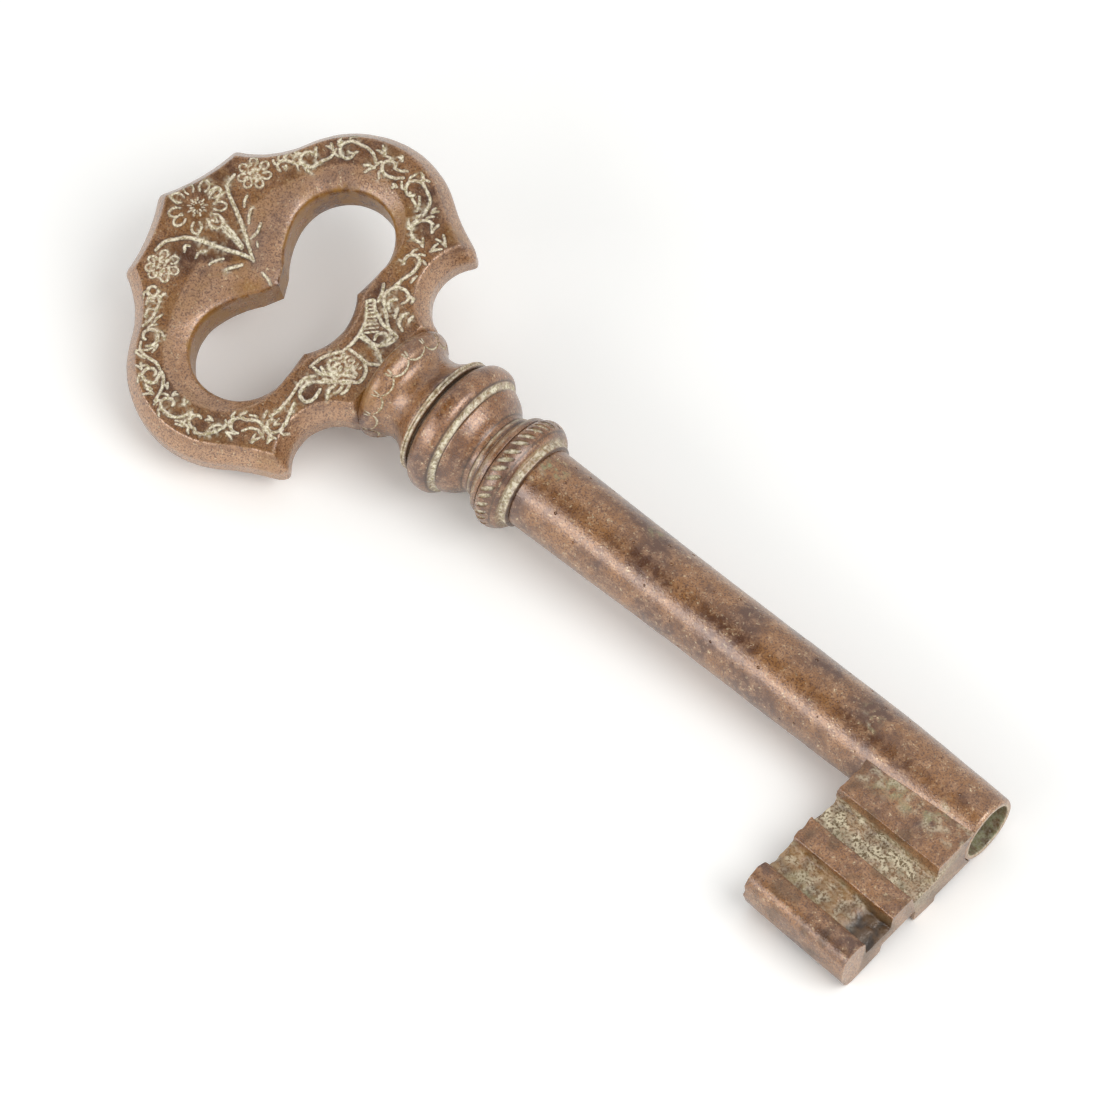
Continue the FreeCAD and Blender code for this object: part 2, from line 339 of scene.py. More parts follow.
def inside(points: Rows, loop: Rows) -> Rows:
    """Tell which flat points lie inside a closed loop.

    Args:
        points: rows of x and y.
        loop: the loop's corners in order.

    Returns:
        True for each point inside.
    """
    hits = np.zeros(len(points), bool)
    x, y = points[:, 0], points[:, 1]
    for (x1, y1), (x2, y2) in zip(loop, np.roll(loop, -1, axis=0)):
        if y1 == y2:
            continue
        crosses = (y1 > y) != (y2 > y)
        hits ^= crosses & (x < (x2 - x1) * (y - y1) / (y2 - y1) + x1)
    return hits


# How the key lies


@dataclass(frozen=True)
class RestPose:
    """The key at rest: on its bulb, its mouth and the end of its bit."""

    bulb_radius: float = 10.1
    bulb_crown_x: float = -94.4993
    mouth_radius: float = 5.0
    bit_turn: float = 13.0
    bead_reach: float = 30.2 * 0.928
    bead_back_height: float = 3.7

    def turn(self) -> Matrix:
        """Work out the turn from the key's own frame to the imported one.

        Returns:
            The turn as a matrix of three rows.
        """
        pitch = math.atan2(self.bulb_radius - self.mouth_radius, -self.bulb_crown_x)
        end_distance = math.hypot(self.bead_reach, self.bead_back_height)
        end_angle = math.atan2(self.bead_back_height, self.bead_reach)
        lean = math.asin(self.mouth_radius / end_distance) - end_angle
        return Matrix.Rotation(pitch, 3, "Y") @ Matrix.Rotation(math.radians(self.bit_turn) + lean, 3, "X")

    def lay(self, points: Rows) -> Rows:
        """Turn points of the key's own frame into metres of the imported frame."""
        return points @ np.array(self.turn()).T * MM


REST = RestPose()


# Finishes


@dataclass(frozen=True)
class PatinatedBronze:
    """Cast bronze under an old, waxed brown patina.

    The skin is a saturated brown oxide that lets some of the metal's gloss through, under a thin wax that
    reflects the white surroundings. Handling has rubbed its crests pinkish, and pale deposit fills its
    grooves. Some colour stands in for light: painted shade along the edges of engraved cuts, a painted
    highlight on crests and inner bevels, and painted glints among the pale specks. The piece's marks say
    where it is filled, stained and shaded, worn and highlighted, green and ochre.
    """

    name: str
    body: str = "#a06c38"
    deep: str = "#5e3412"
    # Rubbed metal; the same colour paints the highlight on the bow's crests and inner bevels.
    worn: str = "#c2946c"
    # Pale specks: partly pale grains, partly painted glints of light.
    speck_and_glint: str = "#e6d0a6"
    # Dark stain; the same colour paints the shade along the edges of the bow's engraved cuts.
    stain_and_shade: str = "#33200e"
    ochre: str = "#94650f"
    fill: str = "#f2ead0"
    fill_shade: str = "#a99c74"
    green: str = "#8c9870"
    metallic: float = 0.3
    roughness: float = 0.29
    gloss: float = 0.8
    wax: float = 0.75
    wax_ior: float = 1.9
    wax_roughness: float = 0.21
    stain_dulls: float = 0.65
    deposit_roughens: float = 0.4
    grain_mm: float = 0.26
    mottle_mm: float = 1.4
    blotch_mm: float = 8.0
    relief_mm: float = 0.06

    def make(self) -> Material:
        """Build the material's nodes.

        Returns:
            The material.
        """
        material = bpy.data.materials.new(self.name)
        material.use_nodes = True
        tree = material.node_tree
        tree.nodes.clear()
        place = add_node(tree, "ShaderNodeTexCoord").outputs["Object"]
        marks = {mark: self.mark(tree, mark) for mark in MARKS}
        grain = self.noise(tree, place, self.grain_mm, 3.0)
        mottle = self.noise(tree, place, self.mottle_mm, 6.0)
        blotch = self.noise(tree, place, self.blotch_mm, 5.0)
        dust = self.noise(tree, place, self.grain_mm * 1.5, 2.0)
        colour = self.skin(tree, marks, grain, mottle, blotch, dust)
        green = self.product(tree, marks["green"], self.ramp(tree, mottle, 0.42, 0.56))
        colour = self.mix(tree, green, colour, linear(self.green))
        deposit = self.mix(tree, self.ramp(tree, dust, 0.46, 0.6), linear(self.fill), linear(self.fill_shade))
        colour = self.mix(tree, marks["fill"], colour, deposit)
        covered = maths(tree, "MAXIMUM", marks["fill"], green)
        stained = maths(tree, "MAXIMUM", marks["ochre"], marks["stain_and_shade"])
        dull = maths(tree, "MULTIPLY", stained, self.stain_dulls)
        bare = maths(tree, "SUBTRACT", 1.0, maths(tree, "MAXIMUM", covered, dull))
        rough = maths(tree, "MULTIPLY_ADD", mottle, 0.25, self.roughness - 0.125)
        rough = maths(tree, "MULTIPLY_ADD", covered, self.deposit_roughens, rough)
        height = maths(tree, "MULTIPLY_ADD", mottle, 1.5, grain)
        relief = {"Height": height, "Strength": 0.7, "Distance": self.relief_mm * MM}
        bump = add_node(tree, "ShaderNodeBump", relief)
        shader = add_node(
            tree,
            "ShaderNodeBsdfPrincipled",
            {
                "Base Color": colour,
                "Metallic": maths(tree, "MULTIPLY", bare, self.metallic),
                "Roughness": rough,
                "Specular IOR Level": self.gloss,
                "Coat Weight": maths(tree, "MULTIPLY", bare, self.wax),
                "Coat Roughness": self.wax_roughness,
                "Coat IOR": self.wax_ior,
                "Normal": bump.outputs[0],
                "Coat Normal": bump.outputs[0],
            },
        )
        add_node(tree, "ShaderNodeOutputMaterial", {"Surface": shader.outputs[0]})
        return material

    def skin(
        self,
        tree: Tree,
        marks: dict[str, Socket],
        grain: Socket,
        mottle: Socket,
        blotch: Socket,
        dust: Socket,
    ) -> Socket:
        """Lay the patina's colours over each other.

        Args:
            tree: the material's tree.
            marks: the piece's own marks.
            grain: the finest noise.
            mottle: the noise of about a millimetre.
            blotch: the widest noise.
            dust: the noise that sets the pale specks and painted glints.

        Returns:
            The patina's colour.
        """
        colour = self.mix(tree, self.ramp(tree, blotch, 0.43, 0.6), linear(self.body), linear(self.deep))
        paler = maths(tree, "MULTIPLY", self.ramp(tree, mottle, 0.46, 0.7), 0.7)
        colour = self.mix(tree, paler, colour, linear(self.worn))
        # Worn edges and crests, with the painted highlight on the bow's crests and inner bevels.
        colour = self.mix(tree, marks["wear_and_highlight"], colour, linear(self.worn))
        pores = maths(tree, "MULTIPLY", self.ramp(tree, grain, 0.49, 0.6), 0.85)
        colour = self.mix(tree, pores, colour, linear(self.deep))
        # Pale specks, partly grains and partly painted glints.
        specks_and_glints = self.product(tree, self.ramp(tree, dust, 0.61, 0.68), self.ramp(tree, mottle, 0.42, 0.66))
        colour = self.mix(tree, specks_and_glints, colour, linear(self.speck_and_glint))
        rusty = self.product(tree, marks["ochre"], self.ramp(tree, mottle, 0.3, 0.6))
        colour = self.mix(tree, rusty, colour, linear(self.ochre))
        # Dark stain, with the painted shade along the bow's engraved cut edges.
        return self.mix(tree, marks["stain_and_shade"], colour, linear(self.stain_and_shade))

    def mark(self, tree: Tree, name: str) -> Socket:
        """Read one of the piece's own marks."""
        return add_node(tree, "ShaderNodeAttribute", attribute_name=name).outputs["Fac"]

    def noise(self, tree: Tree, place: Socket, size_mm: float, detail: float) -> Socket:
        """Add a noise whose lumps are about size_mm across."""
        inputs = {"Vector": place, "Scale": 1 / (size_mm * MM), "Detail": detail, "Roughness": 0.6}
        return add_node(tree, "ShaderNodeTexNoise", inputs).outputs["Fac"]

    def ramp(self, tree: Tree, value: Socket, low: float, high: float) -> Socket:
        """Stretch the part of a value between low and high to 0 and 1."""
        inputs = {"Value": value, "From Min": low, "From Max": high}
        return add_node(tree, "ShaderNodeMapRange", inputs).outputs[0]

    def product(self, tree: Tree, one: Socket, other: Socket) -> Socket:
        """Multiply two values."""
        return maths(tree, "MULTIPLY", one, other)

    def mix(self, tree: Tree, share: Socket, under: object, over: object) -> Socket:
        """Mix two colours."""
        return add_node(tree, "ShaderNodeMix", {0: share, 6: under, 7: over}, data_type="RGBA").outputs[2]


@dataclass(frozen=True)
class PaintedFloor:
    """A matt white table top, slightly overexposed to the camera, which keeps the key's soft shadow."""

    name: str = "matt_white_table"
    colour: str = "#f9f9f7"
    overexposure: float = 1.2

    def make(self) -> Material:
        """Build the material's nodes.

        Returns:
            The material.
        """
        material = bpy.data.materials.new(self.name)
        material.use_nodes = True
        tree = material.node_tree
        tree.nodes.clear()
        seen = [share * self.overexposure for share in linear(self.colour)[:3]] + [1.0]
        by_camera = add_node(tree, "ShaderNodeLightPath").outputs["Is Camera Ray"]
        colours = {0: by_camera, 6: linear(self.colour), 7: seen}
        colour = add_node(tree, "ShaderNodeMix", colours, data_type="RGBA")
        paint = add_node(tree, "ShaderNodeBsdfDiffuse", {"Color": colour.outputs[2]})
        add_node(tree, "ShaderNodeOutputMaterial", {"Surface": paint.outputs[0]})
        return material


# Node trees that turn and repeat shapes


@dataclass(frozen=True)
class NodeMaker:
    """A geometry node tree under construction, with its inputs by name."""

    name: str

    def start(self, inputs: dict[str, str]) -> tuple[Tree, Node]:
        """Make the tree with a geometry input, more named inputs and a geometry output.

        Args:
            inputs: each further input's name, to its socket type.

        Returns:
            The tree and its input node.
        """
        tree = bpy.data.node_groups.new(self.name, "GeometryNodeTree")
        tree.interface.new_socket("Geometry", in_out="INPUT", socket_type="NodeSocketGeometry")
        for name, kind in inputs.items():
            tree.interface.new_socket(name, in_out="INPUT", socket_type=kind)
        tree.interface.new_socket("Geometry", in_out="OUTPUT", socket_type="NodeSocketGeometry")
        return tree, add_node(tree, "NodeGroupInput")

    def end(self, tree: Tree, shape: Socket, given: Node) -> Tree:
        """Close the tree: real geometry with the finish on it.

        Args:
            tree: the tree.
            shape: what it has made.
            given: its input node.

        Returns:
            The finished tree.
        """
        real = add_node(tree, "GeometryNodeRealizeInstances", {"Geometry": shape})
        dressed = add_node(
            tree,
            "GeometryNodeSetMaterial",
            {"Geometry": real.outputs[0], "Material": given.outputs["Finish"]},
        )
        add_node(tree, "NodeGroupOutput", {"Geometry": dressed.outputs[0]})
        return tree


def turning_tree() -> Tree:
    """Make the tree that turns a row of profile points about the key's axis.

    Returns:
        The tree.
    """
    maker = NodeMaker("turned_about_axis")
    tree, given = maker.start({"Segments": "NodeSocketInt", "Finish": "NodeSocketMaterial"})
    profile = given.outputs["Geometry"]
    rows = add_node(tree, "GeometryNodeAttributeDomainSize", {"Geometry": profile}).outputs["Point Count"]
    around = maths(tree, "ADD", given.outputs["Segments"], 1.0)
    grid = add_node(
        tree, "GeometryNodeMeshGrid", {"Size X": 1.0, "Size Y": 1.0, "Vertices X": around, "Vertices Y": rows}
    )
    position = add_node(tree, "GeometryNodeInputPosition").outputs[0]
    share = add_node(tree, "ShaderNodeSeparateXYZ", {0: position})
    angle = maths(tree, "MULTIPLY", maths(tree, "ADD", share.outputs["X"], 0.5), math.tau)
    last = maths(tree, "SUBTRACT", rows, 1.0)
    row = maths(tree, "ROUND", maths(tree, "MULTIPLY", maths(tree, "ADD", share.outputs["Y"], 0.5), last))
    sample = add_node(
        tree,
        "GeometryNodeSampleIndex",
        {"Geometry": profile, "Index": row},
        data_type="FLOAT_VECTOR",
        domain="POINT",
    )
    tree.links.new(position, sample.inputs["Value"])
    spot = add_node(tree, "ShaderNodeSeparateXYZ", {0: sample.outputs[0]})
    across = maths(tree, "MULTIPLY", spot.outputs["Y"], maths(tree, "COSINE", angle))
    up = maths(tree, "MULTIPLY", spot.outputs["Y"], maths(tree, "SINE", angle))
    turned_spot = add_node(tree, "ShaderNodeCombineXYZ", {"X": spot.outputs["X"], "Y": across, "Z": up})
    places = {"Geometry": grid.outputs["Mesh"], "Position": turned_spot.outputs[0]}
    turned_grid = add_node(tree, "GeometryNodeSetPosition", places)
    closed = add_node(
        tree, "GeometryNodeMergeByDistance", {"Geometry": turned_grid.outputs[0], "Distance": 0.001}
    )
    return maker.end(tree, closed.outputs[0], given)


def repeating_tree() -> Tree:
    """Make the tree that sets a shape round the key's axis, each one a little off, as cut by hand.

    Returns:
        The tree.
    """
    maker = NodeMaker("repeated_round_axis")
    tree, given = maker.start(
        {"Count": "NodeSocketInt", "Unevenness": "NodeSocketFloat", "Finish": "NodeSocketMaterial"}
    )
    spots = add_node(
        tree, "GeometryNodeMeshLine", {"Count": given.outputs["Count"], "Offset": (0.0, 0.0, 0.0)}
    ).outputs[0]
    number = add_node(tree, "GeometryNodeInputIndex").outputs[0]
    even = maths(tree, "DIVIDE", maths(tree, "MULTIPLY", number, math.tau), given.outputs["Count"])
    most = given.outputs["Unevenness"]
    least = maths(tree, "MULTIPLY", most, -1.0)
    stray = add_node(
        tree, "FunctionNodeRandomValue", {2: least, 3: most, "Seed": 7}, data_type="FLOAT"
    ).outputs[1]
    turn = add_node(tree, "ShaderNodeCombineXYZ", {"X": maths(tree, "ADD", even, stray)}).outputs[0]
    copies = add_node(
        tree,
        "GeometryNodeInstanceOnPoints",
        {"Points": spots, "Instance": given.outputs["Geometry"], "Rotation": turn},
    )
    return maker.end(tree, copies.outputs[0], given)


def scattering_tree() -> Tree:
    """Make the tree that scatters small round pits on a surface, none nearer than Distance to the next.

    Returns:
        The tree.
    """
    maker = NodeMaker("scattered_pits")
    tree, given = maker.start(
        {
            "Distance": "NodeSocketFloat",
            "Density": "NodeSocketFloat",
            "Smallest": "NodeSocketFloat",
            "Largest": "NodeSocketFloat",
            "Seed": "NodeSocketInt",
            "Finish": "NodeSocketMaterial",
        }
    )
    spots = add_node(
        tree,
        "GeometryNodeDistributePointsOnFaces",
        {
            "Mesh": given.outputs["Geometry"],
            "Distance Min": given.outputs["Distance"],
            "Density Max": given.outputs["Density"],
            "Seed": given.outputs["Seed"],
        },
        distribute_method="POISSON",
    ).outputs["Points"]
    pit = add_node(tree, "GeometryNodeMeshIcoSphere", {"Radius": 1.0, "Subdivisions": 2}).outputs[0]
    size = add_node(
        tree,
        "FunctionNodeRandomValue",
        {2: given.outputs["Smallest"], 3: given.outputs["Largest"], "Seed": given.outputs["Seed"]},
        data_type="FLOAT",
    ).outputs[1]
    copies = add_node(
        tree, "GeometryNodeInstanceOnPoints", {"Points": spots, "Instance": pit, "Scale": size}
    )
    return maker.end(tree, copies.outputs[0], given)


def run_tree(tree: Tree, base: Mesh, values: dict[str, object]) -> Mesh:
    """Run a node tree on a mesh and keep what it makes as a plain mesh.

    Args:
        tree: the geometry node tree.
        base: the mesh that goes in.
        values: the tree's other inputs by name.

    Returns:
        The plain mesh, with its faces outwards.
    """
    holder = held(base)
    modifier = holder.modifiers.new("nodes", "NODES")
    modifier.node_group = tree
    for item in tree.interface.items_tree:
        if item.item_type == "SOCKET" and item.in_out == "INPUT" and item.name in values:
            modifier[item.identifier] = values[item.name]
    return outwards(evaluated(holder))


@dataclass(frozen=True)
class Corner:
    """A corner of a turned profile: its place, its radius from the axis and how far it is rounded."""

    along: float
    radius: float
    rounding: float = 0.0


def profile_rows(corners: list[Corner], spacing: float) -> Rows:
    """Run through a profile's corners, with each one rounded and the runs divided.

    Args:
        corners: the corners in order.
        spacing: the longest step between two rows.

    Returns:
        Rows of place and radius.
    """
    spots = [np.array([c.along, c.radius]) for c in corners]
    runs = [spots[0]]
    for before, spot, after, corner in zip(spots, spots[1:], spots[2:], corners[1:]):
        if corner.rounding:
            reach_in = min(corner.rounding, np.linalg.norm(spot - before) / 2.02)
            reach_out = min(corner.rounding, np.linalg.norm(after - spot) / 2.02)
            start = spot + (before - spot) / np.linalg.norm(before - spot) * reach_in
            end = spot + (after - spot) / np.linalg.norm(after - spot) * reach_out
            for t in np.linspace(0, 1, 7):
                runs.append((1 - t) ** 2 * start + 2 * t * (1 - t) * spot + t**2 * end)
        else:
            runs.append(spot)
    runs.append(spots[-1])
    rows = [runs[0]]
    for start, end in zip(runs, runs[1:]):
        count = max(1, math.ceil(np.linalg.norm(end - start) / spacing))
        rows += [start + (end - start) * (k + 1) / count for k in range(count)]
    return np.array(rows)


@dataclass
class Turner:
    """The lathe: turns profiles, repeats cutters and scatters pits, each by its node tree."""

    lathe: Tree = field(default_factory=turning_tree)
    dividing_head: Tree = field(default_factory=repeating_tree)
    corrosion: Tree = field(default_factory=scattering_tree)

    def turn(self, corners: list[Corner], spacing: float, segments: int) -> Mesh:
        """Turn a profile about the key's axis.

        Args:
            corners: the profile's corners, both ends on the axis or at one place.
            spacing: the longest step between two rows.
            segments: the number of steps round the axis.

        Returns:
            The closed mesh.
        """
        rows = profile_rows(corners, spacing)
        profile = mesh_from("profile", np.column_stack([rows, np.zeros(len(rows))]), [])
        return run_tree(self.lathe, profile, {"Segments": segments})

    def repeat(self, shape: Mesh, count: int, unevenness: float) -> Mesh:
        """Set a shape round the key's axis."""
        return run_tree(self.dividing_head, shape, {"Count": count, "Unevenness": unevenness})

    def pits(self, surface: Mesh, distance: float, density: float, sizes: Point, seed: int) -> Mesh:
        """Scatter pits on a surface."""
        values = {"Distance": distance, "Density": density, "Seed": seed}
        return run_tree(self.corrosion, surface, values | {"Smallest": sizes[0], "Largest": sizes[1]})


def ball_on(centre: Spot, radii: Spot, slant: float) -> Mesh:
    """Make a stretched ball that cuts a rounded nick.

    Args:
        centre: its middle.
        radii: its half lengths along the axis, across it and outwards.
        slant: its turn about the outward direction, in degrees.

    Returns:
        The closed mesh.
    """
    work = bmesh.new()
    bmesh.ops.create_uvsphere(work, u_segments=8, v_segments=10, radius=1.0)
    bmesh.ops.rotate(work, verts=work.verts, matrix=Matrix.Rotation(math.pi / 2, 3, "Y"))
    bmesh.ops.scale(work, verts=work.verts, vec=radii)
    bmesh.ops.rotate(work, verts=work.verts, matrix=Matrix.Rotation(math.radians(slant), 3, "Z"))
    bmesh.ops.translate(work, verts=work.verts, vec=centre)
    mesh = bpy.data.meshes.new("nick")
    work.to_mesh(mesh)
    work.free()
    return mesh


# Finishing a piece


# The marks: pale fill, dark stain with painted shade, worn metal with painted highlight, green and ochre.
MARKS = ("fill", "stain_and_shade", "wear_and_highlight", "green", "ochre")


def with_marks(mesh: Mesh, marks: dict[str, Rows]) -> Mesh:
    """Store where a piece is filled, stained, worn, green and ochre, and where shade and highlight are
    painted on it.

    Args:
        mesh: the piece's mesh.
        marks: one value for each vertex, by the mark's name.

    Returns:
        The same mesh.
    """
    for name in MARKS:
        values = marks.get(name, np.zeros(len(mesh.vertices)))
        mark = mesh.attributes.new(name, "FLOAT", "POINT")
        mark.data.foreach_set("value", np.clip(values, 0, 1).astype(np.float32))
    return mesh


def hand_over(name: str, mesh: Mesh, finish: Material, node: str) -> None:
    """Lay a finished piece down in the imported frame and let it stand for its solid.

    Args:
        name: the piece's name.
        mesh: its mesh in the key's own frame.
        finish: its material.
        node: the solid that it stands for.
    """
    move_points(mesh, REST.lay(points_of(mesh)))
    mesh.materials.clear()
    mesh.materials.append(finish)
    mesh.polygons.foreach_set("use_smooth", np.ones(len(mesh.polygons), bool))
    mesh.polygons.foreach_set("material_index", np.zeros(len(mesh.polygons), np.int32))
    mesh.set_sharp_from_angle(angle=math.radians(38))
    mesh.name = name
    piece = bpy.data.objects.new(name, mesh)
    bpy.context.scene.collection.objects.link(piece)
    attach(piece, ROOT)
    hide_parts(node)
    log.info("%s stands for %s, %d faces", name, node, len(mesh.polygons))


def roughened(mesh: Mesh, lumps: list[tuple[float, float]], seed: float) -> Mesh:
    """Give a piece the slight unevenness of a casting.

    Args:
        mesh: the mesh in millimetres.
        lumps: pairs of lump size and height.
        seed: the piece's own shift.

    Returns:
        The same mesh.
    """
    points = points_of(mesh)
    normals = normals_of(mesh)
    height = sum(cast_noise(points, size, seed) * tall for size, tall in lumps)
    move_points(mesh, points + normals * np.asarray(height)[:, None])
    return mesh


# The engraving


@dataclass(frozen=True)
class Stroke:
    """One cut of the engraver's tool, through points of the face."""

    points: list[Point]
    width: float = 0.52
    depth: float = 0.17


@dataclass(frozen=True)
class Scroll:
    """A C-scroll: a curl that opens from its eye, and a tail.

    Angles are seen from above with the crown up: 0 towards plus Y, 90 towards the crown.
    """

    centre: Point
    radius: float
    start: float
    sweep: float
    tail: tuple[Point, ...] = ()
    eye_share: float = 0.35
    leaf_shares: tuple[float, ...] = (0.42, 0.62, 0.82)
    leaf_length: float = 0.95

    def place_on(self, share: float, beyond: float) -> Point:
        """Find the spot at a share of the curl, some way outside it.

        Args:
            share: how far along the curl.
            beyond: how far outside it.

        Returns:
            The spot.
        """
        x, y = self.centre
        angle = math.radians(self.start + self.sweep * share)
        reach = self.radius * (self.eye_share + (1 - self.eye_share) * min(1, share * 1.6)) + beyond
        return (x - reach * math.sin(angle), y + reach * math.cos(angle))

    def strokes(self) -> list[Stroke]:
        """Give the scroll's cut and the small leaves on its outside.

        Returns:
            The curl with its tail, and one cut for each leaf.
        """
        curl = [self.place_on(share, 0.0) for share in np.linspace(0, 1, 9)]
        cuts = [Stroke(curl + list(self.tail))]
        for share in self.leaf_shares:
            root = self.place_on(share, 0.0)
            middle = self.place_on(share + 0.02, self.leaf_length * 0.55)
            tip = self.place_on(share + 0.1, self.leaf_length)
            cuts.append(Stroke([root, middle, tip], 0.38, 0.13))
        return cuts


@dataclass(frozen=True)
class Tuft:
    """A few short leaf nicks that fan from one spot."""

    root: Point
    angle: float
    length: float = 1.1
    count: int = 2
    fan: float = 38.0

    def strokes(self) -> list[Stroke]:
        """Give the nicks.

        Returns:
            One cut for each nick.
        """
        x, y = self.root
        cuts = []
        for number in range(self.count):
            angle = math.radians(self.angle + self.fan * (number - (self.count - 1) / 2))
            tip = (x - self.length * math.sin(angle), y + self.length * math.cos(angle))
            half = self.length / 2
            middle = (x - half * math.sin(angle) - 0.08, y + half * math.cos(angle) + 0.08)
            cuts.append(Stroke([self.root, middle, tip], 0.4, 0.13))
        return cuts


@dataclass(frozen=True)
class Flower:
    """A flower: open loops for petals round a hatched eye."""

    centre: Point
    petal_angles: tuple[float, ...]
    reach: float
    petal_length: float
    petal_width: float
    eye_cuts: int = 14
    line: float = 0.36

    def strokes(self) -> list[Stroke]:
        """Give the petals' loops and the eye's short cuts.

        Returns:
            The cuts.
        """
        x, y = self.centre
        cuts = []
        for angle in self.petal_angles:
            turn = math.radians(angle)
            out = (-math.sin(turn), math.cos(turn))
            side = (-math.cos(turn), -math.sin(turn))
            loop = []
            for share in np.linspace(-2.55, 2.55, 11):
                along = self.reach + self.petal_length / 2 * math.cos(share)
                across = self.petal_width / 2 * math.sin(share)
                loop.append((x + out[0] * along + side[0] * across, y + out[1] * along + side[1] * across))
            cuts.append(Stroke(loop, self.line, 0.15))
        for number in range(self.eye_cuts):
            turn = math.tau * number / self.eye_cuts
            inner, outer = (0.55, 1.0) if number % 2 else (0.95, 1.45)
            scale = self.reach / 3.2
            cuts.append(
                Stroke(
                    [
                        (x - inner * scale * math.sin(turn), y + inner * scale * math.cos(turn)),
                        (x - outer * scale * math.sin(turn), y + outer * scale * math.cos(turn)),
                    ],
                    0.24,
                    0.14,
                )
            )
        return cuts


@dataclass(frozen=True)
class Ladder:
    """Rungs across a horn of plenty."""

    start: Point
    end: Point
    start_width: float
    end_width: float
    count: int

    def strokes(self) -> list[Stroke]:
        """Give the rungs.

        Returns:
            One cut for each rung.
        """
        start, end = np.array(self.start), np.array(self.end)
        along = (end - start) / np.linalg.norm(end - start)
        across = np.array([-along[1], along[0]])
        cuts = []
        for number in range(self.count):
            share = number / (self.count - 1)
            middle = start + (end - start) * share
            half = (self.start_width + (self.end_width - self.start_width) * share) / 2
            cuts.append(Stroke([tuple(middle - across * half), tuple(middle + across * half)], 0.3, 0.15))
        return cuts


